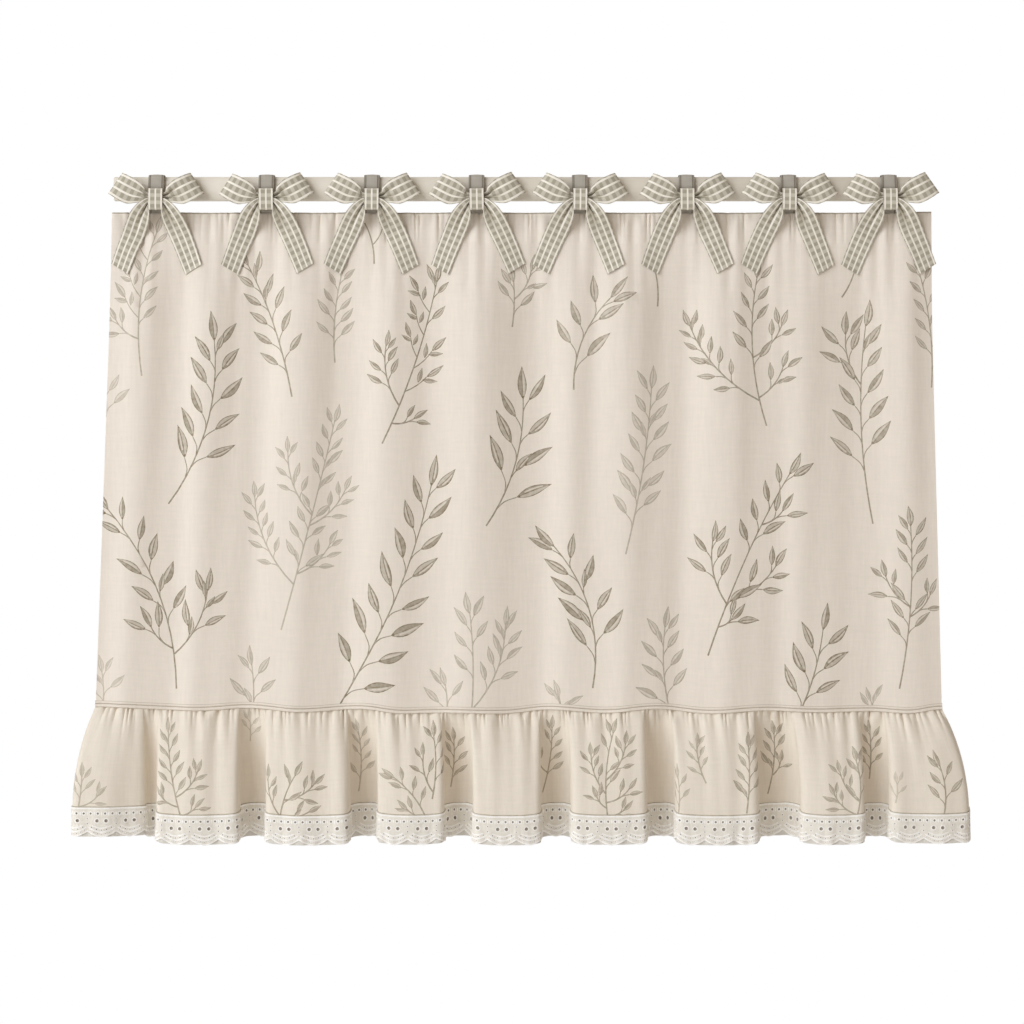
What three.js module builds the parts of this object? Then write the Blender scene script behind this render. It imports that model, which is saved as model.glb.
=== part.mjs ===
// Oven curtain hung on a flat bar.
//
// A printed cloth panel hangs from eight fabric tabs that loop over the bar. A ribbon bow with a
// knot band sits on the front of each tab. A narrow binding joins the panel to a pleated ruffle,
// and a strip of eyelet lace edges the ruffle.
//
// Millimetres. +Z is up, +X is to the right and the front of the curtain faces -Y.
// The origin is the middle of the bar's flat back face.

import * as THREE from 'three';

// ---------------------------------------------------------------------------
// Driving sizes
// ---------------------------------------------------------------------------

const GAP = 0.4; // air between two pieces that touch in the real object
const BAR = { length: 593, height: 17.6, depth: 8, edge: 2.2, crown: 24, arcSteps: 3 };
const RIBBON = 1.0; // thickness of tabs, bows and lace
const CLOTH = 1.2; // thickness of the panel and the ruffle
const BINDING = { height: 4, thickness: 2.2 };
const RUFFLE_GAP = 0.8; // below the binding; the ruffle's columns are closer than the binding's
const LACE_HEIGHT = 20;

const CLOTH_Y = -BAR.depth / 2; // the curtain hangs under the middle of the bar
const PANEL_TOP = -17.6;
const SEAM_TOP = -375.4; // where the panel ends and the binding starts, at the left side
const PANEL_DROP = PANEL_TOP - SEAM_TOP;
const HEM = -450.5; // lower edge of the ruffle's cloth between two lobes

// How far the sides stand out from the bar's middle, at the top of the panel and at its foot.
const PANEL_SIDES = { leftTop: -298, rightTop: 302, leftFoot: -310.3, rightFoot: 310.2 };
const SIDE_CURVE = 1.2;
const FOLD_START = 80; // the folds reach full depth this far below the top hem
const PANEL_LEVELS = [0, 20, 40, 60, 85, 170, 260]; // depths of the mesh rows below the top hem
const STEPS_PER_FOLD = 3;

// The panel's folds from left to right: where each crest or hollow is along the top hem, and how
// far it stands in front of the cloth's plane.
const PANEL_FOLDS = [
  { x: -298, front: -1.5 },
  { x: -283, front: 3.6 },
  { x: -262, front: -2.8 },
  { x: -237, front: 4.2 },
  { x: -209, front: -4.2 },
  { x: -166, front: 5.6 },
  { x: -132, front: -5.2 },
  { x: -97, front: 5.2 },
  { x: -67, front: -4.4 },
  { x: -37, front: 4.8 },
  { x: 7, front: -5.8 },
  { x: 37, front: 4.4 },
  { x: 52, front: 1.6 },
  { x: 68, front: 3.6 },
  { x: 112, front: -5.4 },
  { x: 145, front: 5.6 },
  { x: 180, front: -4.2 },
  { x: 204, front: 2.6 },
  { x: 239, front: -5.2 },
  { x: 279, front: 5.2 },
  { x: 302, front: -1.5 },
];

// How far the seam hangs below its left end: lower on the ruffle's lobes, higher over its hollows.
const SEAM_DIPS = [
  { x: -310, dip: 0 },
  { x: -235, dip: 2.6 },
  { x: -198, dip: 1.0 },
  { x: -158, dip: 3.7 },
  { x: -116, dip: 1.6 },
  { x: -83, dip: 4.8 },
  { x: -50, dip: 4.2 },
  { x: -12, dip: 4.8 },
  { x: 24, dip: 2.1 },
  { x: 62, dip: 4.3 },
  { x: 100, dip: 1.6 },
  { x: 139, dip: 4.8 },
  { x: 180, dip: 2.8 },
  { x: 220, dip: 4.1 },
  { x: 258, dip: 3.5 },
  { x: 285, dip: 4.8 },
  { x: 310, dip: 2.1 },
];

// The ruffle's lobes from left to right: their edges along the binding and along the hem, how far
// each lobe stands in front, how far the hollow after it lies behind, and how much lower the
// lobe's hem hangs than the hollow's.
const RUFFLE_LOBES = [
  { left: -310.5, right: -270.5, hemLeft: -326, hemRight: -268, front: 14, hollow: 6, drop: 3.6 },
  { left: -267, right: -204.5, hemLeft: -265, hemRight: -203.5, front: 17, hollow: 10, drop: 5 },
  { left: -191, right: -124.5, hemLeft: -186.5, hemRight: -123, front: 18, hollow: 11, drop: 5.2 },
  { left: -108.5, right: -58, hemLeft: -104.5, hemRight: -57, front: 16, hollow: 11, drop: 5 },
  { left: -41, right: 16, hemLeft: -36.5, hemRight: 16, front: 18, hollow: 10, drop: 5.2 },
  { left: 31, right: 92, hemLeft: 35.5, hemRight: 93.5, front: 17, hollow: 11, drop: 5 },
  { left: 107, right: 170.5, hemLeft: 111.5, hemRight: 172, front: 18, hollow: 12, drop: 5.2 },
  { left: 189, right: 251, hemLeft: 197.5, hemRight: 251.5, front: 17, hollow: 9, drop: 5 },
  { left: 266, right: 310.5, hemLeft: 269, hemRight: 328.5, front: 15, hollow: 6, drop: 4.4 },
];

// One lobe seen from below, from its left wall to its right wall: how far across the lobe each
// station is along the binding and along the hem, how far forward it stands and how much of the
// lobe's drop it takes. The outer stations of a wall tuck in behind the lobe.
const LOBE_STATIONS = [
  { part: 'wall', seam: 0.0, hem: 0.03, front: -0.4, low: 0.1 },
  { part: 'wall', seam: 0.03, hem: 0.0, front: 0.25, low: 0.3 },
  { part: 'face', seam: 0.08, hem: 0.07, front: 0.74, low: 0.65 },
  { part: 'face', seam: 0.24, hem: 0.24, front: 0.96, low: 0.94 },
  { part: 'face', seam: 0.5, hem: 0.5, front: 1.0, low: 1.0 },
  { part: 'face', seam: 0.76, hem: 0.76, front: 0.96, low: 0.94 },
  { part: 'face', seam: 0.92, hem: 0.93, front: 0.74, low: 0.65 },
  { part: 'wall', seam: 0.97, hem: 1.0, front: 0.25, low: 0.3 },
  { part: 'wall', seam: 1.0, hem: 0.97, front: -0.4, low: 0.1 },
];
const HOLLOW_STATIONS = [
  { across: 0.25, front: -0.9 },
  { across: 0.5, front: -1.0 },
  { across: 0.75, front: -0.9 },
];
// The ruffle's free side edges, in place of a wall.
const LEFT_EDGE = { part: 'edge', seam: 0, hem: 0, front: 0.15, low: 0.2 };
const RIGHT_EDGE = { part: 'edge', seam: 1, hem: 1, front: 0.15, low: 0.2 };
const RUFFLE_LEVELS = [0, 0.1, 0.22, 0.4, 0.65, 1]; // mesh rows, as parts of the ruffle's height

// The bows from left to right: where each knot is along the bar, how far the bow is turned, how
// wide its loops are beside the usual ones, and how far out each tail's tip leans.
const BOWS = [
  { x: -265, turn: 0.5, loops: 0.99, leftTail: -0.6, rightTail: -0.4 },
  { x: -184.5, turn: -0.6, loops: 0.98, leftTail: 0.4, rightTail: 0.0 },
  { x: -107.5, turn: 0.4, loops: 1.0, leftTail: 1.4, rightTail: 1.0 },
  { x: -31, turn: -0.8, loops: 1.02, leftTail: 0.2, rightTail: 1.2 },
  { x: 44.5, turn: 0.6, loops: 1.0, leftTail: 0.8, rightTail: -0.5 },
  { x: 122.5, turn: -0.4, loops: 0.99, leftTail: -0.3, rightTail: 0.6 },
  { x: 197, turn: 0.7, loops: 1.01, leftTail: 0.6, rightTail: 0.9 },
  { x: 270.5, turn: -0.5, loops: 0.98, leftTail: 1.0, rightTail: -0.2 },
];

const TAB = { width: 11.7, foot: -20.8, pinch: -17.4 };
const TAB_CORNER_STEPS = 3;
const KNOT = { width: 11.8, top: -0.6, bottom: -16.4, front: -16.5, back: -9.8, steps: 14 };
const KNOT_SQUARENESS = 5; // exponent of the knot's rounded section
const BOW_CENTRE_Z = -8.5;
const LOOP_ROOT = { x: 5.9, z: -6.7 }; // where a loop leaves the knot
const LOOP_RISE = THREE.MathUtils.degToRad(27);

// One loop of a bow, along its own axis from the knot: the front layer going out, the fold at the
// end and the back layer coming back. up and down are the ribbon's edges beside the axis, upY and
// downY are the depths of those edges, and rise is the share of the axis's slope at that station.
const LOOP_STATIONS = [
  { along: 0.9, up: 3.3, down: -3.4, upY: -13.2, downY: -13.2, rise: 0 },
  { along: 5, up: 5.1, down: -6.4, upY: -14.6, downY: -13.2, rise: 1 },
  { along: 11, up: 7.2, down: -9.2, upY: -16.4, downY: -14.8, rise: 1 },
  { along: 18, up: 7.7, down: -8.9, upY: -16.6, downY: -16.2, rise: 1 },
  { along: 23.8, up: 7.7, down: -8.4, upY: -14.6, downY: -14.8, rise: 1 },
  { along: 25.2, up: 7.6, down: -8.3, upY: -12.3, downY: -12.3, rise: 1 },
  { along: 23.2, up: 7.3, down: -7.9, upY: -10, downY: -10, rise: 1 },
  { along: 11, up: 6.4, down: -7.6, upY: -10, downY: -10.2, rise: 1 },
  { along: 0.9, up: 3.3, down: -3.4, upY: -11.8, downY: -11.8, rise: 0 },
];

// One tail of a bow from the middle of the knot to its tip: the ribbon's inner and outer edge,
// measured from the knot's middle line and the bar's middle, and its depth. reach says how much of
// the tip's lean each station takes.
const TAIL_STATIONS = [
  { inX: 6.2, inZ: -14, outX: 6.2, outZ: -8.0, y: -14.6, reach: 0 },
  { inX: 6.6, inZ: -18.5, outX: 12.6, outZ: -11.2, y: -15.4, reach: 0.1 },
  { inX: 7.4, inZ: -24, outX: 18.6, outZ: -17.4, y: -15.6, reach: 0.2 },
  { inX: 9.2, inZ: -32, outX: 23.4, outZ: -26.3, y: -14.8, reach: 0.4 },
  { inX: 13.4, inZ: -45, outX: 28.2, outZ: -38.6, y: -13.2, reach: 0.7 },
  { inX: 18.8, inZ: -61.6, outX: 33, outZ: -53.8, y: -11.8, reach: 1 },
];
const TAIL_MIDDLE = { lowZ: -13.8, highZ: -8.0, y: -14.6 };

// ---------------------------------------------------------------------------
// Materials
// ---------------------------------------------------------------------------

const finish = (color, roughness) =>
  new THREE.MeshStandardMaterial({ color, roughness, metalness: 0, side: THREE.DoubleSide });

const MATERIALS = {
  bar: () => finish(0xd8cfbd, 0.45),
  linen: () => finish(0xe4dac9, 0.9),
  binding: () => finish(0xe8ddca, 0.9),
  lace: () => finish(0xf2eee8, 0.9),
  tab: () => finish(0xa59e94, 0.9),
  ribbon: () => finish(0xbab3a1, 0.8),
};

// ---------------------------------------------------------------------------
// Shape helpers
// ---------------------------------------------------------------------------

const { lerp, smoothstep, degToRad, clamp } = THREE.MathUtils;

/** A table's column at x, eased from row to row. */
function eased(rows, column, x) {
  const right = rows.findIndex((row) => row.x > x);
  const to = rows.at(right);
  const from = rows[right - 1] ?? to;
  const share = right > 0 ? (x - from.x) / (to.x - from.x) : 1;
  return lerp(from[column], to[column], (1 - Math.cos(Math.PI * share)) / 2);
}

/** Forward reach of the panel's folds at x along the top hem. */
const foldFront = (x) => eased(PANEL_FOLDS, 'front', x);

/** Height of the panel's foot at x along the seam. */
const seamZ = (x) => SEAM_TOP - eased(SEAM_DIPS, 'dip', x);

/** The top hem's x for a point at x on the foot of the panel. */
function topXAtFoot(x) {
  const { leftTop, rightTop, leftFoot, rightFoot } = PANEL_SIDES;
  return lerp(leftTop, rightTop, (x - leftFoot) / (rightFoot - leftFoot));
}

/** Depth of the cloth at the seam below the panel. */
const seamY = (x) => CLOTH_Y - foldFront(topXAtFoot(x));

/** A closed sheet around a grid of middle points, columns[i][j]. A joined sheet is a belt. */
function sheetGeometry(columns, thickness, joined = false) {
  const count = columns.length;
  const rows = columns[0].length;
  const point = (i, j) => {
    const column = joined ? (i + count) % count : clamp(i, 0, count - 1);
    return columns[column][clamp(j, 0, rows - 1)];
  };
  const positions = [];
  for (let i = 0; i < count; i += 1) {
    for (let j = 0; j < rows; j += 1) {
      const across = point(i + 1, j).clone().sub(point(i - 1, j));
      const along = point(i, j + 1).clone().sub(point(i, j - 1));
      const half = across.cross(along).normalize().multiplyScalar(thickness / 2);
      positions.push(...point(i, j).clone().add(half).toArray());
      positions.push(...point(i, j).clone().sub(half).toArray());
    }
  }

  const indices = [];
  const corner = (i, j, side) => ((i % count) * rows + j) * 2 + side;
  const quad = (a, b, c, d) => indices.push(a, b, c, a, c, d);
  const last = rows - 1;
  const spans = joined ? count : count - 1;
  for (let i = 0; i < spans; i += 1) {
    for (let j = 0; j < last; j += 1) {
      quad(corner(i, j, 0), corner(i + 1, j, 0), corner(i + 1, j + 1, 0), corner(i, j + 1, 0));
      quad(corner(i, j, 1), corner(i, j + 1, 1), corner(i + 1, j + 1, 1), corner(i + 1, j, 1));
    }
    quad(corner(i, 0, 1), corner(i + 1, 0, 1), corner(i + 1, 0, 0), corner(i, 0, 0));
    quad(corner(i, last, 0), corner(i + 1, last, 0), corner(i + 1, last, 1), corner(i, last, 1));
  }
  if (!joined) {
    const end = count - 1;
    for (let j = 0; j < last; j += 1) {
      quad(corner(0, j, 0), corner(0, j + 1, 0), corner(0, j + 1, 1), corner(0, j, 1));
      quad(corner(end, j, 1), corner(end, j + 1, 1), corner(end, j + 1, 0), corner(end, j, 0));
    }
  }

  const geometry = new THREE.BufferGeometry();
  geometry.setAttribute('position', new THREE.Float32BufferAttribute(positions, 3));
  geometry.setIndex(indices);
  geometry.computeVertexNormals();
  return geometry;
}

// ---------------------------------------------------------------------------
// The bar
// ---------------------------------------------------------------------------

/** The bar's section has a flat back, rounded edges and a softly crowned front. */
function barSection() {
  const { height, depth, edge, crown } = BAR;
  const top = height / 2 - edge;
  const lean = Math.asin(top / (crown - edge)); // half of the crown's angle
  const middle = crown - depth;
  const front = middle - (crown - edge) * Math.cos(lean);
  const toFront = -Math.PI / 2;
  const section = new THREE.Shape();
  section.absarc(0, middle, crown, toFront - lean, toFront + lean);
  section.absarc(top, front, edge, toFront + lean, 0);
  section.absarc(top, -edge, edge, 0, Math.PI / 2);
  section.absarc(-top, -edge, edge, Math.PI / 2, Math.PI);
  section.absarc(-top, front, edge, Math.PI, Math.PI * 1.5 - lean);
  return section;
}

function barGeometry() {
  const geometry = new THREE.ExtrudeGeometry(barSection(), {
    depth: BAR.length,
    bevelEnabled: false,
    curveSegments: BAR.arcSteps,
  });
  geometry.rotateY(Math.PI / 2);
  geometry.translate(-BAR.length / 2, 0, 0);
  return geometry;
}

// ---------------------------------------------------------------------------
// The panel, the binding, the ruffle and the lace
// ---------------------------------------------------------------------------

/** The panel's columns along the top hem: the folds' crests and hollows and the steps between. */
function panelColumns() {
  const columns = [];
  for (let i = 1; i < PANEL_FOLDS.length; i += 1) {
    for (let step = 0; step < STEPS_PER_FOLD; step += 1) {
      columns.push(lerp(PANEL_FOLDS[i - 1].x, PANEL_FOLDS[i].x, step / STEPS_PER_FOLD));
    }
  }
  columns.push(PANEL_FOLDS.at(-1).x);
  return columns;
}

function panelPoint(topX, below) {
  const { leftTop, rightTop, leftFoot, rightFoot } = PANEL_SIDES;
  const share = (topX - leftTop) / (rightTop - leftTop);
  const down = below / PANEL_DROP;
  const left = lerp(leftTop, leftFoot, down ** SIDE_CURVE);
  const right = lerp(rightTop, rightFoot, down ** SIDE_CURVE);
  const dip = (SEAM_TOP - seamZ(lerp(leftFoot, rightFoot, share))) * down ** 2;
  const depth = smoothstep(below, 0, FOLD_START);
  return new THREE.Vector3(
    lerp(left, right, share),
    CLOTH_Y - foldFront(topX) * depth,
    PANEL_TOP - below - dip,
  );
}

function panelGeometry() {
  const levels = [...PANEL_LEVELS, PANEL_DROP];
  const columns = panelColumns().map((x) => levels.map((below) => panelPoint(x, below)));
  return sheetGeometry(columns, CLOTH);
}

function bindingGeometry() {
  const columns = panelColumns().map((x) => {
    const foot = panelPoint(x, PANEL_DROP);
    return [GAP, GAP + BINDING.height].map(
      (below) => new THREE.Vector3(foot.x, foot.y, foot.z - below),
    );
  });
  return sheetGeometry(columns, BINDING.thickness);
}

/** The stations of one lobe. A free side has one edge in place of its wall. */
function lobeStations(lobe, before, next) {
  const isLeft = (row) => row.seam < 0.5;
  const walled = (row) => row.part === 'face' || (isLeft(row) ? before : next);
  const rows = LOBE_STATIONS.filter(walled);
  if (!before) {
    rows.unshift(LEFT_EDGE);
  }
  if (!next) {
    rows.push(RIGHT_EDGE);
  }
  return rows.map((row) => {
    const hollow = isLeft(row) && before ? before.hollow : lobe.hollow;
    return {
      seamX: lerp(lobe.left, lobe.right, row.seam),
      hemX: lerp(lobe.hemLeft, lobe.hemRight, row.hem),
      front: row.front * (row.front > 0 ? lobe.front : hollow),
      drop: row.low * lobe.drop,
    };
  });
}

function hollowStations(lobe, next) {
  return HOLLOW_STATIONS.map((row) => ({
    seamX: lerp(lobe.right, next.left, row.across),
    hemX: lerp(lobe.hemRight, next.hemLeft, row.across),
    front: row.front * lobe.hollow,
    drop: 0,
  }));
}

/** The ruffle's stations from left to right, at the seam and at the hem. */
function ruffleStations() {
  return RUFFLE_LOBES.flatMap((lobe, index) => {
    const next = RUFFLE_LOBES[index + 1];
    const stations = lobeStations(lobe, RUFFLE_LOBES[index - 1], next);
    return next ? [...stations, ...hollowStations(lobe, next)] : stations;
  });
}

/** The ruffle flares out fast under the binding and then hangs straight. */
const flare = (level) => 1 - (1 - level) ** 2;

function rufflePoint(station, level) {
  const spread = flare(level);
  const top = seamZ(station.seamX) - GAP - BINDING.height - RUFFLE_GAP;
  return new THREE.Vector3(
    lerp(station.seamX, station.hemX, spread),
    lerp(seamY(station.seamX), CLOTH_Y - station.front, spread),
    lerp(top, HEM - station.drop, level),
  );
}

function ruffleGeometry() {
  const columns = ruffleStations().map((station) =>
    RUFFLE_LEVELS.map((level) => rufflePoint(station, level)),
  );
  return sheetGeometry(columns, CLOTH);
}

function laceGeometry() {
  const columns = ruffleStations().map((station) => {
    const hem = rufflePoint(station, 1);
    return [GAP, GAP + LACE_HEIGHT].map((below) => new THREE.Vector3(hem.x, hem.y, hem.z - below));
  });
  return sheetGeometry(columns, RIBBON);
}

// ---------------------------------------------------------------------------
// Tabs and bows
// ---------------------------------------------------------------------------

/** A tab's middle line in (y, z): up the front of the bar, over its top and down its back. */
function tabPath() {
  const away = GAP + RIBBON / 2;
  const legGap = CLOTH / 2 + GAP + RIBBON / 2; // the legs hold the panel's top hem between them
  const cornerZ = BAR.height / 2 - BAR.edge;
  const bend = BAR.edge + away;
  const path = [
    [CLOTH_Y - legGap, TAB.foot],
    [CLOTH_Y - legGap, TAB.pinch],
    [-BAR.depth - away, -cornerZ],
  ];
  for (let step = 0; step <= TAB_CORNER_STEPS; step += 1) {
    const angle = Math.PI - (Math.PI / 2) * (step / TAB_CORNER_STEPS);
    path.push([
      -BAR.depth + BAR.edge + bend * Math.cos(angle),
      cornerZ + bend * Math.sin(angle),
    ]);
  }
  for (let step = 0; step <= TAB_CORNER_STEPS; step += 1) {
    const angle = (Math.PI / 2) * (1 - step / TAB_CORNER_STEPS);
    path.push([-BAR.edge + bend * Math.cos(angle), cornerZ + bend * Math.sin(angle)]);
  }
  path.push([away, -cornerZ], [CLOTH_Y + legGap, TAB.pinch], [CLOTH_Y + legGap, TAB.foot]);
  return path;
}

function tabGeometry() {
  const half = TAB.width / 2;
  const columns = tabPath().map(([y, z]) => [-half, half].map((x) => new THREE.Vector3(x, y, z)));
  return sheetGeometry(columns, RIBBON);
}

/** The knot is a short band wound round the bow's middle, with a rounded square section. */
function knotGeometry() {
  const { width, top, bottom, front, back, steps } = KNOT;
  const reachY = (back - front - RIBBON) / 2;
  const reachZ = (top - bottom - RIBBON) / 2;
  const power = 2 / KNOT_SQUARENESS;
  const rounded = (value) => Math.sign(value) * Math.abs(value) ** power;
  const columns = [];
  for (let step = 0; step < steps; step += 1) {
    const angle = (2 * Math.PI * (step + 0.5)) / steps;
    const y = (front + back) / 2 + reachY * rounded(Math.cos(angle));
    const z = (top + bottom) / 2 + reachZ * rounded(Math.sin(angle));
    columns.push([-width / 2, width / 2].map((x) => new THREE.Vector3(x, y, z)));
  }
  return sheetGeometry(columns, RIBBON, true);
}

/** The two edge points of one station of a loop, on the left (-1) or the right (1) of the knot. */
function loopEdges(row, side, widen) {
  const along = row.along * widen;
  const rise = LOOP_RISE * row.rise;
  const edge = (beside, y) => {
    const x = LOOP_ROOT.x + along * Math.cos(rise) - beside * Math.sin(rise);
    const z = LOOP_ROOT.z + along * Math.sin(rise) + beside * Math.cos(rise);
    return new THREE.Vector3(side * x, y, z);
  };
  return [edge(row.up, row.upY), edge(row.down, row.downY)];
}

/** Both loops are one belt of ribbon, held shut in the knot. */
function loopsGeometry(bow) {
  const right = LOOP_STATIONS.map((row) => loopEdges(row, 1, bow.loops));
  const left = LOOP_STATIONS.map((row) => loopEdges(row, -1, bow.loops)).reverse();
  return sheetGeometry([...right, ...left], RIBBON, true);
}

/** Both tails are one strip of ribbon that runs through the knot in front of the loops. */
function tailsGeometry(bow) {
  const tail = (side, lean) =>
    TAIL_STATIONS.map((row) => {
      const out = lean * row.reach;
      return [
        new THREE.Vector3(side * (row.outX + out), row.y, row.outZ),
        new THREE.Vector3(side * (row.inX + out), row.y, row.inZ),
      ];
    });
  const middle = [TAIL_MIDDLE.highZ, TAIL_MIDDLE.lowZ].map(
    (z) => new THREE.Vector3(0, TAIL_MIDDLE.y, z),
  );
  const left = tail(-1, bow.leftTail).reverse();
  return sheetGeometry([...left, middle, ...tail(1, bow.rightTail)], RIBBON);
}

// ---------------------------------------------------------------------------
// The whole curtain
// ---------------------------------------------------------------------------

const group = new THREE.Group();

function addPiece(name, geometry, material, parent = group) {
  const mesh = new THREE.Mesh(geometry, material);
  mesh.name = name;
  parent.add(mesh);
  return mesh;
}

addPiece('bar', barGeometry(), MATERIALS.bar());
addPiece('panel', panelGeometry(), MATERIALS.linen());
addPiece('binding', bindingGeometry(), MATERIALS.binding());
addPiece('ruffle', ruffleGeometry(), MATERIALS.linen());
addPiece('lace_trim', laceGeometry(), MATERIALS.lace());

BOWS.forEach((bow, index) => {
  const number = index + 1;
  const hanger = new THREE.Group();
  hanger.position.x = bow.x;
  group.add(hanger);
  addPiece(`tab_${number}`, tabGeometry(), MATERIALS.tab(), hanger);

  // A bow turns about its own middle.
  const turned = new THREE.Group();
  turned.position.z = BOW_CENTRE_Z;
  turned.rotation.y = degToRad(bow.turn);
  hanger.add(turned);
  const pieces = {
    bow_loops: [loopsGeometry(bow), MATERIALS.ribbon()],
    bow_tails: [tailsGeometry(bow), MATERIALS.ribbon()],
    knot: [knotGeometry(), MATERIALS.ribbon()],
  };
  Object.entries(pieces).forEach(([name, [geometry, material]]) => {
    const mesh = addPiece(`${name}_${number}`, geometry, material, turned);
    mesh.position.z = -BOW_CENTRE_Z;
  });
});

export default group;
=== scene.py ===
"""An oven curtain that hangs by tabs and ribbon bows on a flat cream bar.

The printed linen panel, the pleated ruffle and the eyelet lace are flat patterns. Each is cut into
triangles along its printed leaves or its eyelets and then hung in its folds. The ribbons are strips
that are swept along their own paths. Lengths are in millimetres until a mesh is made.
"""

import math
import random

import bpy
import numpy as np
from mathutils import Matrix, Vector, kdtree
from mathutils.geometry import delaunay_2d_cdt


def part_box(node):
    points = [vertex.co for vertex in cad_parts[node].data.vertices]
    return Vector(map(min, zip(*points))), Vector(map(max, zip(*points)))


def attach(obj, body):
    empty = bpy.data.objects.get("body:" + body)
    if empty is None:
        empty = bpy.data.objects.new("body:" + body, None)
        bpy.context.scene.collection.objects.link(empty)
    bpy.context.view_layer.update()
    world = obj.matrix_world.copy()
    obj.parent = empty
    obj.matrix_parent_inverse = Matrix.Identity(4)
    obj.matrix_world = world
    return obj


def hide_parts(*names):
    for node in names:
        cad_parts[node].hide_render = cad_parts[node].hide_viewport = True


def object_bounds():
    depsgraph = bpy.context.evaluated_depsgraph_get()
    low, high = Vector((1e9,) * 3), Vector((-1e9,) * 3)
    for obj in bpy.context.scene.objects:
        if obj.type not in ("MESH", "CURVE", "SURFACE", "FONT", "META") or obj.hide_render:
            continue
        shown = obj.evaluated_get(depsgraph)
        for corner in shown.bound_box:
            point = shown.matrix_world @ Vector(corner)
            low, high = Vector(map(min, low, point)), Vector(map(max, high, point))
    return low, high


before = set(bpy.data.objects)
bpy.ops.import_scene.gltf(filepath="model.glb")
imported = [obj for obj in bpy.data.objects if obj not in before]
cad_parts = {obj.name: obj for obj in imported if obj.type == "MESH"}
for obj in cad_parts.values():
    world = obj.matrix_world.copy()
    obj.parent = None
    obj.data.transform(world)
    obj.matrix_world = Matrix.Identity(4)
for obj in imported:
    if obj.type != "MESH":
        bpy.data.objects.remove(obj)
CAD_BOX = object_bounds()

MM = 0.001


def box_mm(node):
    """Lowest and highest corner of a solid, in millimetres."""
    low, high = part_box(node)
    return np.array(low) / MM, np.array(high) / MM


# ---- Sizes, in millimetres

BAR_LOW, BAR_HIGH = box_mm("bar")
KNOT_XS = [sum(box_mm(f"knot_{number}"))[0] / 2 for number in range(1, 9)]

CLOTH_Y = (BAR_LOW[1] + BAR_HIGH[1]) / 2  # the cloth hangs under the middle of the bar
PANEL_TOP = box_mm("panel")[1][2] + 0.7
SEAM_TOP = -375.4
PANEL_DROP = PANEL_TOP - SEAM_TOP
HEM = -452.6  # lower edge of the ruffle's cloth between two lobes
RUFFLE_TUCK = 3.6  # the ruffle's top edge lies this far below the panel's foot, under the binding
LACE_HEIGHT = 20.0
LACE_LAP = 1.6  # the lace is sewn over the ruffle's foot

LINEN = 0.55  # thicknesses
RIBBON = 0.5
LACE = 0.5
NET = 0.2

SHARP_EDGE = math.radians(50)  # flatter edges are shaded round
TOP_LEFT, TOP_RIGHT = -298.0, 302.0  # the panel's corners
FOOT_LEFT, FOOT_RIGHT = -310.3, 310.2
SIDE_CURVE = 1.1
FOLD_START = 80.0

# Crests and hollows of the panel from left to right: place along the top hem, how far in front.
PANEL_FOLDS = [
    (-298, -2.6), (-276, 2.2), (-246, -2.4), (-228, 2.4), (-191, -3.4), (-158, 4.2), (-125, -2.8),
    (-92, 4.4), (-63, -0.6), (-30, 6.2), (15, -3.2), (40, 2.2), (54, 0.8), (77, 5.2), (117, -3.0),
    (150, 3.8), (186, -2.2), (203, -0.4), (251, -6.4), (283, -1.2), (302, -4.6),
]

# Places along the seam, and how far the seam hangs there below its left end.
SEAM_DIPS = [
    (-310, 0.0), (-235, 2.6), (-198, 1.0), (-158, 3.7), (-116, 1.6), (-83, 4.8), (-50, 4.2),
    (-12, 4.8), (24, 2.1), (62, 4.3), (100, 1.6), (139, 4.8), (180, 2.8), (220, 4.1), (258, 3.5),
    (285, 4.8), (310, 2.1),
]

# The ruffle's lobes: edges along the seam, edges along the hem, how far in front the lobe stands,
# how far behind the next hollow lies, and how much lower the lobe's hem hangs.
RUFFLE_LOBES = [
    (-310.5, -275.0, -326.0, -273.0, 14, 5, 0.4),
    (-265.0, -204.5, -264.0, -203.5, 17, 10, 5.0),
    (-187.5, -124.5, -184.5, -123.0, 18, 11, 5.2),
    (-106.0, -56.0, -103.0, -54.5, 16, 11, 5.0),
    (-38.0, 16.0, -33.5, 16.0, 18, 10, 5.2),
    (34.0, 92.0, 38.0, 93.5, 17, 11, 5.0),
    (110.0, 173.0, 114.0, 175.0, 18, 12, 5.2),
    (199.0, 251.0, 205.5, 251.5, 17, 10, 5.0),
    (268.0, 310.5, 270.5, 328.5, 15, 6, 4.4),
]

# One lobe from its left wall to its right wall: share across at the seam and at the hem, how far
# forward, and how much of the drop. The first two and last two rows are the walls.
LOBE_STATIONS = [
    (0.00, 0.03, -0.40, 0.20), (0.03, 0.00, 0.40, 0.50), (0.07, 0.04, 0.86, 0.80),
    (0.24, 0.24, 0.98, 0.97), (0.50, 0.50, 1.00, 1.00), (0.76, 0.76, 1.00, 0.97),
    (0.94, 0.96, 0.93, 0.80), (0.98, 1.00, 0.45, 0.50), (1.00, 0.975, -0.40, 0.20),
]
HOLLOW_STATIONS = [(0.25, -0.86), (0.5, -1.0), (0.78, -1.02)]
LEFT_EDGE = (0.0, 0.0, 0.15, 0.2)
RIGHT_EDGE = (1.0, 1.0, 0.15, 0.2)

# ---- Curves and soft waves


def eased(table, x):
    """A table's value at x, eased from row to row."""
    places, values = np.array(table, float).T
    x = np.asarray(x, float)
    left = np.clip(np.searchsorted(places, x) - 1, 0, len(places) - 2)
    share = np.clip((x - places[left]) / (places[left + 1] - places[left]), 0, 1)
    return values[left] + (values[left + 1] - values[left]) * (1 - np.cos(np.pi * share)) / 2


def smoothstep(low, high, x):
    share = np.clip((x - low) / (high - low), 0, 1)
    return share * share * (3 - 2 * share)


def mix(a, b, share):
    return a + (b - a) * share


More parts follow.
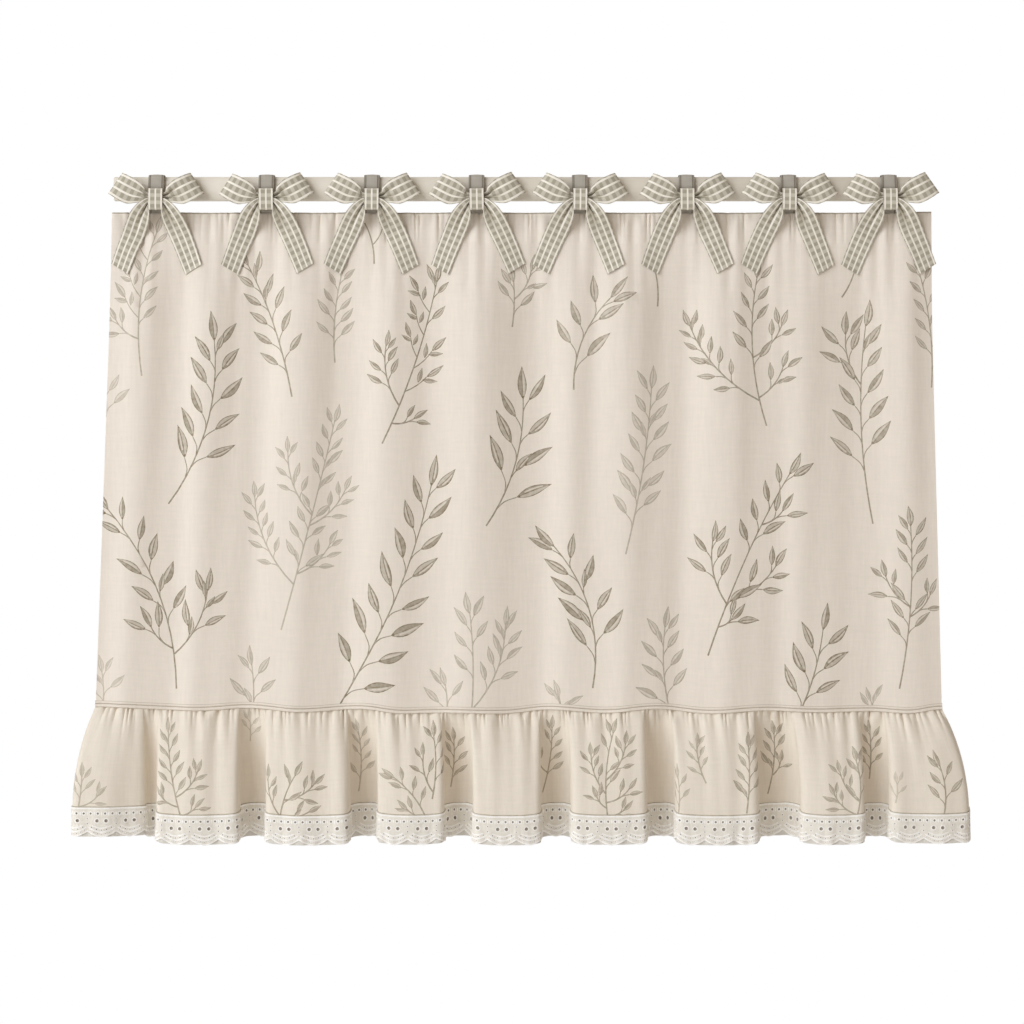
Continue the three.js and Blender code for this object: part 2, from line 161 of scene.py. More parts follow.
def unit(vectors):
    """The vectors with length 1."""
    return vectors / np.maximum(np.linalg.norm(vectors, axis=-1, keepdims=True), 1e-9)


def runs_along(line):
    """How far along a line each of its points is."""
    return np.concatenate([[0], np.cumsum(np.linalg.norm(np.diff(line, axis=0), axis=1))])


def smooth_line(points, steps, closed=False, measured=None):
    """A round curve through points. Its pace follows the first measured columns of each point."""
    points = np.asarray(points, float)
    if closed:
        points = np.vstack([points[-1:], points, points[:2]])
    else:
        points = np.vstack([2 * points[0] - points[1], points, 2 * points[-1] - points[-2]])
    gaps = np.maximum(np.linalg.norm(np.diff(points[:, :measured], axis=0), axis=1), 1e-6) ** 0.5
    share = np.arange(steps)[:, None] / steps
    runs = []
    for i in range(len(points) - 3):
        before, gap, after = gaps[i : i + 3]
        a, b, c, d = points[i : i + 4]
        leave = (b - a) / before - (c - a) / (before + gap) + (c - b) / gap
        reach = (c - b) / gap - (d - b) / (gap + after) + (d - c) / after
        leave, reach = leave * gap, reach * gap
        runs.append(
            b + leave * share
            + (3 * (c - b) - 2 * leave - reach) * share**2
            + (2 * (b - c) + leave + reach) * share**3
        )
    if not closed:
        runs.append(points[-2:-1])
    return np.vstack(runs)


def ripple(x, pitch, seed):
    """An uneven wave between about -1 and 1: sines whose pitches lie round the given one."""
    draw = random.Random(seed)
    total = 0.0
    for _ in range(4):
        length = pitch * math.exp(draw.uniform(-0.35, 0.35))
        total = total + np.sin(2 * np.pi * (x / length + draw.random()))
    return total / 2.2


def puckers(x, pitch, seed, sharpness=1.6):
    """Narrow valleys between round puffs: about -1 in a valley and 0 on a puff."""
    phase = x / pitch + 0.45 * ripple(x, 4 * pitch, seed)
    depth = 0.7 + 0.5 * ripple(x, 2.5 * pitch, seed + 1)
    return -np.clip(depth, 0.15, 1.4) * (1 - np.abs(np.sin(np.pi * phase))) ** sharpness


# ---- How the cloth hangs


def panel_sides(below):
    """The panel's left and right edge at a depth below its top hem."""
    down = np.clip(below / PANEL_DROP, 0, 1.05) ** SIDE_CURVE
    return mix(TOP_LEFT, FOOT_LEFT, down), mix(TOP_RIGHT, FOOT_RIGHT, down)


def panel_front(x, below):
    """How far the panel stands in front of its plane."""
    left, right = panel_sides(below)
    top_x = mix(TOP_LEFT, TOP_RIGHT, (x - left) / (right - left))
    depth = smoothstep(0, FOLD_START, below) * mix(1.12, 0.7, smoothstep(60, 330, below))
    folds = eased(PANEL_FOLDS, top_x) * depth
    reach = np.clip(10 + 5 * ripple(top_x, 23.0, 14), 5, 16)
    gathers = 2.3 * puckers(top_x, 5.4, 11, 1.1) * np.exp(-below / reach)
    gathers += 0.85 * ripple(top_x, 14.0, 12) * smoothstep(0, 10, below) * np.exp(-below / 60)
    sway = 0.25 * ripple(top_x + 0.05 * below, 30.0, 13) * smoothstep(0, 60, below)
    return folds + gathers + sway


def seam_dip(x):
    return eased(SEAM_DIPS, x)


def hang_panel(x, below):
    drop = seam_dip(x) * (np.clip(below, 0, None) / PANEL_DROP) ** 2
    sag = 0.5 * top_sag(x) * np.exp(-np.clip(below, 0, None) / 20)
    return np.stack([x, CLOTH_Y - panel_front(x, below), PANEL_TOP - below - drop - sag], -1)


def top_sag(x):
    """The top hem sags a little from tab to tab."""
    rows = [(TOP_LEFT, 0.6)]
    for left, right in zip(KNOT_XS, KNOT_XS[1:]):
        rows += [(left, 0.0), ((left + right) / 2, 1.0)]
    rows += [(KNOT_XS[-1], 0.0), (TOP_RIGHT, -0.6)]
    return eased(rows, x)


def ruffle_stations():
    """Rows of hem x, hem front, hem drop and seam x, from the left edge to the right edge."""
    rows = []
    for index, lobe in enumerate(RUFFLE_LOBES):
        left, right, hem_left, hem_right, front, hollow, drop = lobe
        first, last = index == 0, index == len(RUFFLE_LOBES) - 1
        before = hollow if first else RUFFLE_LOBES[index - 1][5]
        stations = LOBE_STATIONS[2 if first else 0 : -2 if last else None]
        stations = [LEFT_EDGE] * first + stations + [RIGHT_EDGE] * last
        for seam, hem, forward, low in stations:
            behind = before if seam < 0.5 else hollow
            reach = forward * (front if forward > 0 else behind)
            if first and forward > 0:
                reach *= 1 - 0.6 * smoothstep(0.5, 0.96, hem)
            rows.append((mix(hem_left, hem_right, hem), reach, low * drop, mix(left, right, seam)))
        if not last:
            following = RUFFLE_LOBES[index + 1]
            for across, forward in HOLLOW_STATIONS:
                hem_x = mix(hem_right, following[2], across)
                rows.append((hem_x, forward * hollow, 0.0, mix(right, following[0], across)))
    return rows


HEM_LINE = smooth_line(ruffle_stations(), 14, measured=2)
HEM_RUN = runs_along(HEM_LINE[:, :2])
RUFFLE_WIDTH = HEM_RUN[-1]
RUFFLE_HEIGHT = 75.0


def along_hem(run, column):
    """A column of the hem's line at a run along the cloth."""
    return np.interp(run, HEM_RUN, HEM_LINE[:, column])


def hang_ruffle(run, below):
    """The hollows fall back soon below the seam, and the lobes swell all the way down."""
    seam_x, hem_x, hem_front = along_hem(run, 3), along_hem(run, 0), along_hem(run, 1)
    level = below / RUFFLE_HEIGHT
    short = 1 - np.clip(level, 0, 1)
    spread = 1 - short**2
    deepening = mix(spread, 1 - short**4, smoothstep(9, -4, hem_front))
    top = SEAM_TOP - seam_dip(seam_x) - RUFFLE_TUCK
    gathers = 3.0 * puckers(seam_x, 4.6, 21, 1.0) * np.exp(-below / 6)
    gathers += 2.3 * puckers(seam_x, 10.0, 24) * smoothstep(-3, 5, below) * np.exp(-below / 15)
    gathers += 1.2 * ripple(seam_x, 17.0, 22) * smoothstep(0, 8, below) * np.exp(-below / 38)
    gathers += 0.7 * ripple(run, 30.0, 23) * smoothstep(5, 40, below)
    front = mix(panel_front(seam_x, PANEL_DROP), hem_front, deepening) + gathers
    z = mix(top, HEM - 1.2 * along_hem(run, 2), level)
    return np.stack([mix(seam_x, hem_x, spread), CLOTH_Y - front, z], -1)


def hang_lace(run, below, ahead_of=0.0):
    """The lace continues the ruffle's foot, a little in front of it."""
    sewn = np.full_like(run, RUFFLE_HEIGHT)
    step, nothing = 0.8, np.zeros(len(run))
    tangent = unit((hang_ruffle(run + step, sewn) - hang_ruffle(run - step, sewn))[:, :2])
    outward = np.stack([tangent[:, 1], -tangent[:, 0], nothing], -1)
    flutter = 0.35 * ripple(run, 11.0, 31) * smoothstep(4, 20, below)
    longer = 1 + 0.14 * smoothstep(2, -6, along_hem(run, 1))
    drop = np.stack([nothing, nothing, -below * longer], -1)
    return hang_ruffle(run, sewn) + outward * (0.62 + ahead_of + flutter)[:, None] + drop


# ---- Flat patterns and their meshes


def turned_left(ring):
    """The ring with its points in counter-clockwise order."""
    ring = [tuple(point) for point in ring]
    area = sum(a[0] * b[1] - b[0] * a[1] for a, b in zip(ring, ring[1:] + ring[:1]))
    return ring if area > 0 else ring[::-1]


def cut_pattern(outline, marks, spots, clear):
    """Cuts a flat outline into triangles that follow every mark.

    marks are (ring, value) pairs, each drawn over the ones before it, and a mark whose value is
    None is a hole. spots are further points inside, left out where they lie closer than clear to
    a mark. Returns the points, the triangles and each triangle's value.
    """
    rings = [turned_left(outline)] + [turned_left(ring) for ring, _ in marks]
    values = [0.0] + [value for _, value in marks]
    points = [point for ring in rings for point in ring]
    near = kdtree.KDTree(len(points))
    for index, (x, y) in enumerate(points):
        near.insert((x, y, 0), index)
    near.balance()
    starts = np.concatenate([[0], np.cumsum([len(ring) for ring in rings])])
    faces = [list(range(a, b)) for a, b in zip(starts, starts[1:])]
    points += [tuple(spot) for spot in spots if near.find((spot[0], spot[1], 0))[2] > clear]
    found = delaunay_2d_cdt([Vector(point) for point in points], [], faces, 1, 1e-4, True)
    owned = [(face, values[max(owner)]) for face, owner in zip(found[2], found[5]) if 0 in owner]
    kept = np.array([face for face, value in owned if value is not None])
    shades = np.array([value for _, value in owned if value is not None])
    used, kept = np.unique(kept, return_inverse=True)
    kept = kept.reshape(-1, 3)
    flat = np.array([tuple(point) for point in found[0]])[used]
    a, b, c = (flat[kept[:, corner]] for corner in range(3))
    clockwise = np.cross(b - a, c - a) < 0
    kept[clockwise] = kept[clockwise][:, ::-1]
    return flat, kept, shades


def line_at(xs, below):
    """Points on the cloth at xs, all at one height or each at its own."""
    return np.stack([xs, below + 0 * xs], -1)


def band(xs, upper, lower):
    """A ring between two lines over the same xs."""
    return np.vstack([line_at(xs, upper), line_at(xs, lower)[::-1]])


def put(name, data):
    """A new object in the scene."""
    thing = bpy.data.objects.new(name, data)
    bpy.context.scene.collection.objects.link(thing)
    return thing


def mesh_piece(name, vertices, faces, material_slots, face_slots=None):
    mesh = bpy.data.meshes.new(name)
    mesh.from_pydata(vertices.tolist(), [], [list(face) for face in faces])
    for material in material_slots:
        mesh.materials.append(material)
    if face_slots is not None:
        mesh.polygons.foreach_set("material_index", face_slots)
    mesh.polygons.foreach_set("use_smooth", [True] * len(mesh.polygons))
    mesh.set_sharp_from_angle(angle=SHARP_EDGE)
    return put(name, mesh)


def add_map(mesh, name, corners):
    layer = mesh.uv_layers.new(name=name)
    layer.data.foreach_set("uv", np.asarray(corners, np.float32).ravel())


def bake_places(places, middles, size, strips, part):
    """Places in a 0 to 1 map, the sheet cut into strips laid one above the other in part of it.

    places are the corners' flat points, middles the middles of their faces, and size the flat
    sheet's low corner and high corner.
    """
    (low_x, low_y), (high_x, high_y) = size
    length = (high_x - low_x) / strips
    strip = np.clip(np.floor((middles[:, 0] - low_x) / length), 0, strips - 1)
    margin = 0.012
    across = (places[:, 0] - low_x - strip * length) / length
    up = (high_y - places[:, 1]) / (high_y - low_y)
    height = (part[1] - part[0]) / strips
    u = margin + across * (1 - 2 * margin)
    return np.stack([u, part[0] + height * (strip + 0.06 + 0.88 * up)], -1)


def sheet_piece(name, pattern, hang, thickness, materials, strips, relief=0.0):
    """Hangs a cut pattern as a closed sheet: front, back and edge. Relief lifts its marks."""
    flat, triangles, values = pattern
    x, y = flat[:, 0], flat[:, 1]
    step = 0.15
    along = hang(x + step, y) - hang(x - step, y)
    down = hang(x, y + step) - hang(x, y - step)
    normal = -unit(np.cross(along, down))  # towards the front
    middle = hang(x, y)
    lift = np.zeros(len(flat))
    np.maximum.at(lift, triangles.ravel(), np.repeat(values, 3))
    front = middle + normal * (thickness / 2 + relief * lift)[:, None]
    vertices = np.vstack([front, middle - normal * thickness / 2]) * MM

    count = len(flat)
    sides = np.vstack([triangles[:, [0, 1]], triangles[:, [1, 2]], triangles[:, [2, 0]]])
    keys = set(map(tuple, sides))
    rim = np.array([(a, b) for a, b in sides if (b, a) not in keys])
    front = triangles[:, ::-1]
    back = triangles + count
    edge = np.stack([rim[:, 0], rim[:, 1], rim[:, 1] + count, rim[:, 0] + count], -1)
    faces = front.tolist() + back.tolist() + edge.tolist()
    slots = np.repeat([0, 1, 0], [len(front), len(back), len(edge)])
    piece = mesh_piece(name, vertices, faces, materials, slots)
    mesh = piece.data

    corners = np.concatenate([front.ravel(), back.ravel(), edge.ravel()]) % count
    places = flat[corners]
    add_map(mesh, "Cloth", places * MM)
    size = (flat.min(0), flat.max(0))
    spread = []
    for group, place in ((front, (0.36, 1.0)), (back, (0.02, 0.34)), (edge, (0.0, 0.015))):
        own = flat[group.ravel() % count]
        middles = np.repeat(flat[group % count].mean(1), group.shape[1], axis=0)
        if group is edge:
            own = own + np.tile([[0, 0], [0, 0], [0, 3.0], [0, 3.0]], (len(group), 1))
        spread.append(bake_places(own, middles, size, strips, place))
    add_map(mesh, "OFBake", np.vstack(spread))
    ink = mesh.attributes.new("Print", "FLOAT", "FACE")
    ink.data.foreach_set("value", np.concatenate([values, values, np.zeros(len(edge))]))
    return piece


# ---- Printed sprigs

STEM_INK = 0.72
EDGE_INK = 0.84
BLADE_INK = (0.64, 0.40)
STREAK_INK = 0.2
# Ink of the panel's serged top edge, and of the line above the lace: a stitched edge with painted shade
# along the join.
SEWING_AND_SHADE_INK = 0.55


def turned(direction, degrees):
    """A direction turned clockwise as seen on the cloth."""
    cos, sin = math.cos(math.radians(degrees)), math.sin(math.radians(degrees))
    x, y = direction
    return np.array([x * cos - y * sin, x * sin + y * cos])


def raised(direction, share):
    """A direction turned some of the way towards straight up."""
    lean = math.atan2(direction[0], -direction[1]) * (1 - share)
    return np.array([math.sin(lean), -math.cos(lean)])


def point_on(line, share):
    """The point at a share of a line, and the line's step there."""
    place = share * (len(line) - 1)
    step = line[int(place) + 1] - line[int(place)]
    return line[int(place)] + step * (place % 1), step


def stem_points(foot, tip, bend, count):
    """A stem that bows to one side by bend."""
    foot, run = np.array(foot, float), np.subtract(tip, foot)
    share = np.linspace(0, 1, count)[:, None]
    return foot + run * share + unit(np.array([-run[1], run[0]])) * bend * 4 * share * (1 - share)


def stroke(points, width, thin):
    """A ring round a line that gets thinner from width to thin."""
    run = np.gradient(points, axis=0)
    aside = unit(np.stack([-run[:, 1], run[:, 0]], -1))
    half = np.linspace(width, thin, len(points))[:, None] / 2
    return np.vstack([points + aside * half, (points - aside * half)[::-1]])


def blade(foot, direction, length, width, curl, low=-1.0, high=1.0, inset=0.0, steps=8):
    """A ring of a leaf, or of a lengthwise part of it from low to high across."""
    foot, direction = np.array(foot), np.array(direction)
    aside = np.array([-direction[1], direction[0]])
    share = np.linspace(0.04 + inset, 0.96 - inset, steps)
    half = width / 2 * np.sin(np.pi * share**0.86) * (1 - 0.25 * share**3)
    side = curl * length * share * (1 - share)
    spine = foot + np.outer(share * length, direction) + np.outer(side, aside)
    lower, upper = spine + np.outer(half * low, aside), spine + np.outer(half * high, aside)
    if inset:
        return np.vstack([lower, upper[::-1]])
    return np.vstack([foot, lower, foot + direction * length, upper[::-1]])


class Print:
    """The sprigs on one cloth: its marks, and the middle and length of every leaf so far."""

    def __init__(self, marks):
        self.marks, self.leaves = marks, []

    def stem(self, line, width, thin):
        self.marks.append((stroke(line, width, thin), STEM_INK * self.tone))

    def leaf(self, foot, direction, length, beside=False):
        """A leaf: dark edge and midrib, two washed halves and on a long leaf a pale streak.

        It is left out where it would lie on another leaf. Returns whether it was drawn.
        """
        centre = foot + direction * length / 2
        near = [math.dist(centre, other) < 0.3 * (length + size) for other, size in self.leaves]
        if any(near) and not beside:
            return False
        self.leaves.append((centre, length))
        width = length * (self.draw.uniform(0.335, 0.395) - 0.003 * length)
        small = length < 12
        shape = (foot, direction, length, width, self.draw.uniform(-0.2, 0.2))
        self.marks.append((blade(*shape, steps=6 if small else 8), EDGE_INK * self.tone))
        washes = list(BLADE_INK)
        self.draw.shuffle(washes)
        streak = self.draw.choice([0, 1])
        for side, (low, high) in enumerate(((-0.82, -0.08), (0.08, 0.82))):
            inner = blade(*shape, low, high, 0.06, steps=4 if small else 5)
            self.marks.append((inner, washes[side] * self.tone))
            if side == streak and not small:
                low, high = sorted((0.22 * (2 * side - 1), 0.56 * (2 * side - 1)))
                pale = blade(*shape, low, high, 0.2, steps=4)
                self.marks.append((pale, STREAK_INK * self.tone))
        return True

    def stalked_leaf(self, foot, heading, side, length, share):
        """A leaf on a bowed stalk. Leaves spread wide low on the stem and close up near its tip."""
        facing = raised(turned(heading, side * mix(54, 34, share) * self.draw.uniform(0.9, 1.1)), 0.12)
        stalk = length * mix(0.6, 0.36, share) * self.draw.uniform(0.85, 1.15)
        middle = foot + turned(heading, side * 18) * stalk * 0.5
        out = middle + facing * stalk * 0.6
        if not self.leaf(out, facing, length):
            return
        self.stem(smooth_line([foot, middle, out], 3), 0.85, 0.65)
        if self.draw.random() < 0.14:
            self.leaf(middle, turned(facing, -side * 14), length * 0.7, beside=True)

    def twig(self, foot, heading, side, length):
        """A side twig with a leaf at its end and a smaller one on either side."""
        away = raised(turned(heading, side * self.draw.uniform(40, 52)), 0.2)
        out = foot + away * length * 1.2
        if not self.leaf(out, away, length * 0.95):
            return
        self.stem(stem_points(foot, out, side * 0.07 * length, 5), 0.85, 0.6)
        for share, turn in ((0.6, -side), (0.8, side)):
            self.leaf(mix(foot, out, share), turned(away, turn * 40), length * 0.72, beside=True)

    def branch(self, line, leaf, bare, twigs=0):
        """A stem with stalked leaves or twigs in turn on either side and one leaf at its tip."""
        self.stem(line, 1.2, 0.75)
        length = runs_along(line)[-1]
        last = max(1 - 0.45 * leaf / length, bare + 0.1)
        count = max(2, round((last - bare) * length / (leaf * (0.43 + 0.25 * twigs))) + 1)
        side = self.draw.choice([-1, 1])
        for index in range(count):
            share = bare + (last - bare) * (index + self.draw.uniform(-0.15, 0.15)) / (count - 1)
            at, step = point_on(line, min(max(share, 0), 0.99))
            size = leaf * (1.05 - 0.2 * share) * self.draw.uniform(0.88, 1.1)
            if self.draw.random() < twigs and index < count - 2:
                self.twig(at, unit(step), side, size)
            else:
                self.stalked_leaf(at, unit(step), side, size, share)
            side = -side
        heading = unit(line[-1] - line[-2])
        facing = turned(heading, self.draw.uniform(-6, 6))
        self.leaf(line[-1] - heading * 1.5, facing, 0.86 * leaf + 1.5, beside=True)

    def sprig(self, number, foot, tip, bend, leaf, tone, twigs, *branches):
        """A bowed main stem, and branches that leave it at their shares of its length.

        One whose leaves have no length is only a bare stem that runs up behind a ribbon.
        """
        self.tone, self.draw = tone, random.Random(100 + number)
        line = stem_points(foot, tip, bend, 12)
        if not leaf:
            self.stem(line, 1.2, 0.9)
        for share, *end in branches:
            start = point_on(line, share)[0]
            reach = np.linalg.norm(end - start)
            branch = stem_points(start, end, math.copysign(0.1, end[0] - start[0]) * reach, 9)
            if leaf:
                self.branch(branch, leaf * 0.86, min(0.5, 0.16 + 4 / reach))
            else:
                self.stem(branch, 1.0, 0.7)
        if leaf:
            cut_by_seam = foot[1] > 355
            self.branch(line, leaf, 0.26 if branches else 0.06 if cut_by_seam else 0.16, twigs)


# Foot and tip of each main stem on the panel, how far it bows to its right, its leaves' length, its
# strength, how many of its leaves are twigs, and its branches: where they leave it, and their tips.
PANEL_SPRIGS = [
    ((-276, 120), (-265, 14), -7, 14.5, 0.65, 0.4, (0.25, -296, 78)),
    ((-257, 213), (-223, 93), 12, 24.5, 1, 0),
    ((-166, 135), (-199, 38), 4, 17.5, 0.9, 0),
    ((-135, 110), (-129, 42), -3, 14, 0.65, 0),
    ((-100, 169), (-60, 50), 4, 15, 1, 0.6, (0.24, -97, 97), (0.13, -76, 150)),
    ((-5, 84), (-4, 50), 1, 16, 0.75, 0, (0.6, 9, 42)),
    ((40, 130), (68, 62), -8, 22, 0.85, 0),
    ((101.5, 69), (97, 34), 2, 0, 0.9, 0),
    ((181.5, 156), (174.5, 47), -7, 16, 0.9, 0.1, (0.17, 125, 82), (0.19, 194, 112), (0.46, 193, 82)),
    ((237, 62), (248, 34), 2, 0, 0.9, 0),
    ((-106, 38), (-113, 8), 2, 0, 0.9, 0, (0.45, -100, 10)),
    ((260, 227), (255, 82), -6, 22, 0.9, 0, (0.7, 240, 88)),
    ((303, 128), (293, 42), 4, 14, 0.8, 0.3),
    ((-251, 347), (-302, 217), 13, 22, 1, 0, (0.17, -228, 275), (0.2, -270, 302)),
    ((-174, 304), (-135, 152), 1, 14.5, 0.62, 0.1, (0.22, -194, 207), (0.27, -138, 241), (0.5, -127, 202),
     (0.55, -169, 174)),
    ((-134, 363), (-64, 198), 8, 25.5, 1, 0),
    ((-24, 228), (3, 135), 8, 26.5, 1, 0),
    ((78, 249), (97, 128), 3, 19, 0.6, 0),
    ((54, 345), (25, 243), 13, 23, 1, 0),
    ((138.5, 321), (199, 190), -4, 19.5, 1, 0, (0.27, 142, 238), (0.28, 189, 257), (0.15, 156, 295),
     (0.7, 194, 217)),
    ((279, 345), (287, 227), 4, 16, 0.9, 0, (0.5, 269, 264), (0.44, 302, 278)),
    ((-195, 366), (-196, 330), 1, 16, 0.65, 0),
    ((-35, 366), (-36, 290), 2, 17.5, 0.62, 0, (0.08, -10, 298)),
    ((-53, 366), (-54, 342), 1, 15, 0.6, 0),
    ((30, 366), (29, 352), 1, 14, 0.6, 0),
    ((111, 366), (107, 302), -3, 17.5, 0.68, 0),
    ((204, 366), (223, 302), 3, 22, 1, 0),
    ((259, 366), (258, 354), 1, 11.5, 0.65, 0),
    ((-305, 362), (-306, 336), 1, 14, 0.5, 0),
    ((-303, 150), (-304, 130), 1, 15, 0.5, 0),
]

# The same for the ruffle without twigs, with hem places, and first whether it stands in a hollow.
RUFFLE_SPRIGS = [
    (False, (-321, 75), (-320, 50), 1, 12, 0.6, (0.08, -306, 64)),
    (False, (-245, 76), (-256, 15), -2, 11.5, 0.78, (0.25, -233, 42), (0.14, -261, 60), (0.04, -234, 67)),
    (False, (-174, 76), (-162, 44), -2, 12.5, 0.85, (0.05, -183, 47), (0.4, -148, 50), (0.06, -152, 70)),
    (True, (-197, 26), (-196, 8), 0, 9.5, 0.5),
    (True, (-118, 64), (-117, 16), 2, 10.5, 0.62),
    (False, (-67, 77), (-91, 46), 3, 12, 0.8, (0.03, -82, 68)),
    (False, (-63, 62), (-61, 16), 2, 12.5, 0.9, (0.1, -69, 30)),
    (True, (-50, 60), (-46, 22), 1, 12, 0.8),
    (True, (17, 64), (26, 14), 2, 11.5, 0.8, (0.3, 13, 38)),
    (False, (65, 77), (71, 14), -4, 12, 0.82, (0.3, 54, 30), (0.45, 79, 22), (0.14, 57, 60), (0.2, 81, 54),
     (0.05, 77, 69)),
    (False, (116, 74), (116, 46), 1, 10, 0.62),
    (False, (136, 50), (131, 22), -2, 9, 0.65),
    (False, (165, 72), (168, 24), 1, 11.5, 0.8),
    (True, (183, 66), (190, 18), 2, 12, 0.85, (0.3, 194, 40)),
    (False, (245, 77), (246, 34), 3, 11.5, 0.75, (0.08, 229, 58), (0.3, 234, 42)),
    (True, (258, 54), (259, 16), 1, 11, 0.82),
    (False, (274, 66), (275, 50), 1, 8.5, 0.42),
    (False, (308, 76), (309, 38), 2, 13.5, 0.85),
]


def run_at(x, hollow):
    """The run along the ruffle's cloth where a lobe, or else a hollow, passes a place at the hem."""
    wrong = (HEM_LINE[:, 1] < 0) != hollow
    return HEM_RUN[np.argmin(np.abs(HEM_LINE[:, 0] - x) + 99 * wrong)]


def panel_pattern():
    foot = PANEL_DROP + 1.2
    sides = np.linspace(0, foot, 90)[1:-1]
    left, right = (np.stack([xs, sides], -1) for xs in panel_sides(sides))
    top = line_at(np.linspace(TOP_LEFT, TOP_RIGHT, 601), 0.0)
    bottom = line_at(np.linspace(FOOT_RIGHT, FOOT_LEFT, 250), foot)
    spots = []
    for level in [*range(3, 24, 3), *range(24, 60, 6), *np.arange(60, PANEL_DROP, 9.0)]:
        spacing = 0.9 if level < 24 else 2.4 if level < 60 else 3.6
        low, high = panel_sides(level)
        spots += [*line_at(np.linspace(low, high, int((high - low) / spacing))[1:-1], level)]
    serged = band(np.linspace(TOP_LEFT - 1, TOP_RIGHT + 1, 300), -0.5, 1.0)
    sprigs = Print([(serged, SEWING_AND_SHADE_INK)])
    for number, row in enumerate(PANEL_SPRIGS):
        sprigs.sprig(number, *row)
    return cut_pattern(np.vstack([top, right, bottom, left[::-1]]), sprigs.marks, spots, 0.45)


def ruffle_pattern():
    top = line_at(np.append(np.arange(0, RUFFLE_WIDTH, 0.75), RUFFLE_WIDTH), 0.0)
    bottom = line_at(np.append(np.arange(0, RUFFLE_WIDTH, 1.8), RUFFLE_WIDTH), RUFFLE_HEIGHT)
    sides = np.arange(3, RUFFLE_HEIGHT - 1, 3.0)
    left, right = (np.stack([x + 0 * sides, sides], -1) for x in (0.0, RUFFLE_WIDTH))
    spots = []
    for level in [0.9, 1.9, 3.1, 4.5, 6.3, 8.6, 11.5, 15.0, 19.0, *np.arange(23, 72, 3.8)]:
        spacing = 0.75 if level < 9 else 1.2 if level < 20 else 2.0
        spots += [*line_at(np.arange(spacing, RUFFLE_WIDTH - 0.5, spacing), level)]
    sewn = RUFFLE_HEIGHT - LACE_LAP
    # A darker line just above where the lace is sewn on: a stitched edge with painted shade along the
    # join.
    stitch_and_shade_line = band(np.arange(-1, RUFFLE_WIDTH + 2, 1.8), sewn - 0.75, sewn - 0.1)
    sprigs = Print([(stitch_and_shade_line, SEWING_AND_SHADE_INK)])
    for number, (hollow, foot, tip, bend, leaf, tone, *branches) in enumerate(RUFFLE_SPRIGS):
        shift = run_at(foot[0], hollow) - foot[0]
        foot, tip = ((x + shift, below) for x, below in (foot, tip))
        branches = [(share, x + shift, below) for share, x, below in branches]
        sprigs.sprig(50 + number, foot, tip, bend, leaf, tone, 0, *branches)
    return cut_pattern(np.vstack([top, right, bottom[::-1], left[::-1]]), sprigs.marks, spots, 0.45)


# ---- Eyelet lace

SCALLOP = 20.7
SCALLOP_DEPTH = 4.2
THREAD = 1.0  # raised thread, in the lace's Print attribute


def circle(x, y, radius, count):
    angles = np.arange(count) * 2 * math.pi / count
    return np.stack([x + radius * np.cos(angles), y + radius * np.sin(angles)], -1)


def scallop_foot(run, lift=0.0):
    """The lace's lower edge, or a line that runs lift above it."""
    away = np.abs(run / SCALLOP % 1 * 2 - 1)
    return lace_straight(run) - SCALLOP_DEPTH * away**1.7 - lift


def lace_straight(run):
    """The lace's foot without its scallops. It is rounded at the free ends."""
    ends = np.exp(-run / 2.5) + np.exp(-(RUFFLE_WIDTH - run) / 2.5)
    return LACE_HEIGHT - 3.0 * ends


def lace_pattern():
    runs = np.append(np.arange(0, RUFFLE_WIDTH, 1.0), RUFFLE_WIDTH)
    outline = band(runs, -LACE_LAP, scallop_foot(runs))
    rings = [band(runs, -LACE_LAP - 1, -0.4), band(runs, scallop_foot(runs, -1), scallop_foot(runs, 1.1))]
    holes = []
    for left in np.arange(int(RUFFLE_WIDTH / SCALLOP) + 1) * SCALLOP:
        middle = left + SCALLOP / 2
        for lift, spread, half in ((3.7, 9.4, 0.5), (6.6, 7.0, 0.45)):
            runs = np.linspace(middle - spread, middle + spread, 15)
            line = scallop_foot(runs, lift)
            rings.append(band(runs, line + half, line - half))
        for step in range(4):
            holes.append((left + (step + 0.5) * SCALLOP / 4, 2.7, 0.8, 8))
            rings.append(blade((left + (step + 1) * SCALLOP / 4, 1.2), (0, 1), 3.2, 1.2, 0, steps=4))
        holes += [(middle + aside, 8.0, 1.25, 11) for aside in (-3.2, 3.2)]
        holes += [(middle + SCALLOP / 2, below, 0.5, 6) for below in (6.2, 10.0)]
        for lift, radius, count, step in ((5.15, 0.5, 5, 3.5), (2.35, 0.42, 7, 2.7)):
            for place in range(count):
                run = middle + (place - (count - 1) / 2) * step
                holes.append((run, scallop_foot(run, lift), radius, 6))
    holes = [hole for hole in holes if 2 < hole[0] < RUFFLE_WIDTH - 2]
    for x, below, radius, sides in holes:
        rings.append(circle(x, below, radius + (0.75 if radius > 0.5 else 0.4), sides + 3))
    marks = [(ring, THREAD) for ring in rings] + [(circle(*hole), None) for hole in holes]
    spots = [(run, level) for level in np.arange(0, 18, 2.0) for run in np.arange(1.5, RUFFLE_WIDTH, 2.0)]
    return cut_pattern(outline, marks, spots, 0.5)


def net_pattern():
    """The net behind the eyelets. Its hem shows pale between the scallops."""
    runs = np.arange(0.5, RUFFLE_WIDTH, 1.8)
    foot = lace_straight(runs)
    hem = (band(runs, foot + 1, foot - 5.2), 1.0)
    spots = [(run, level) for level in np.arange(3, 17, 4.0) for run in np.arange(3, RUFFLE_WIDTH, 2.5)]
    return cut_pattern(band(runs, 0.5, foot - 0.4), [hem], spots, 0.5)


def hang_net(run, below):
    return hang_lace(run, below, -0.42)


# ---- Ribbons

RIBBON_WIDTH = 16.0

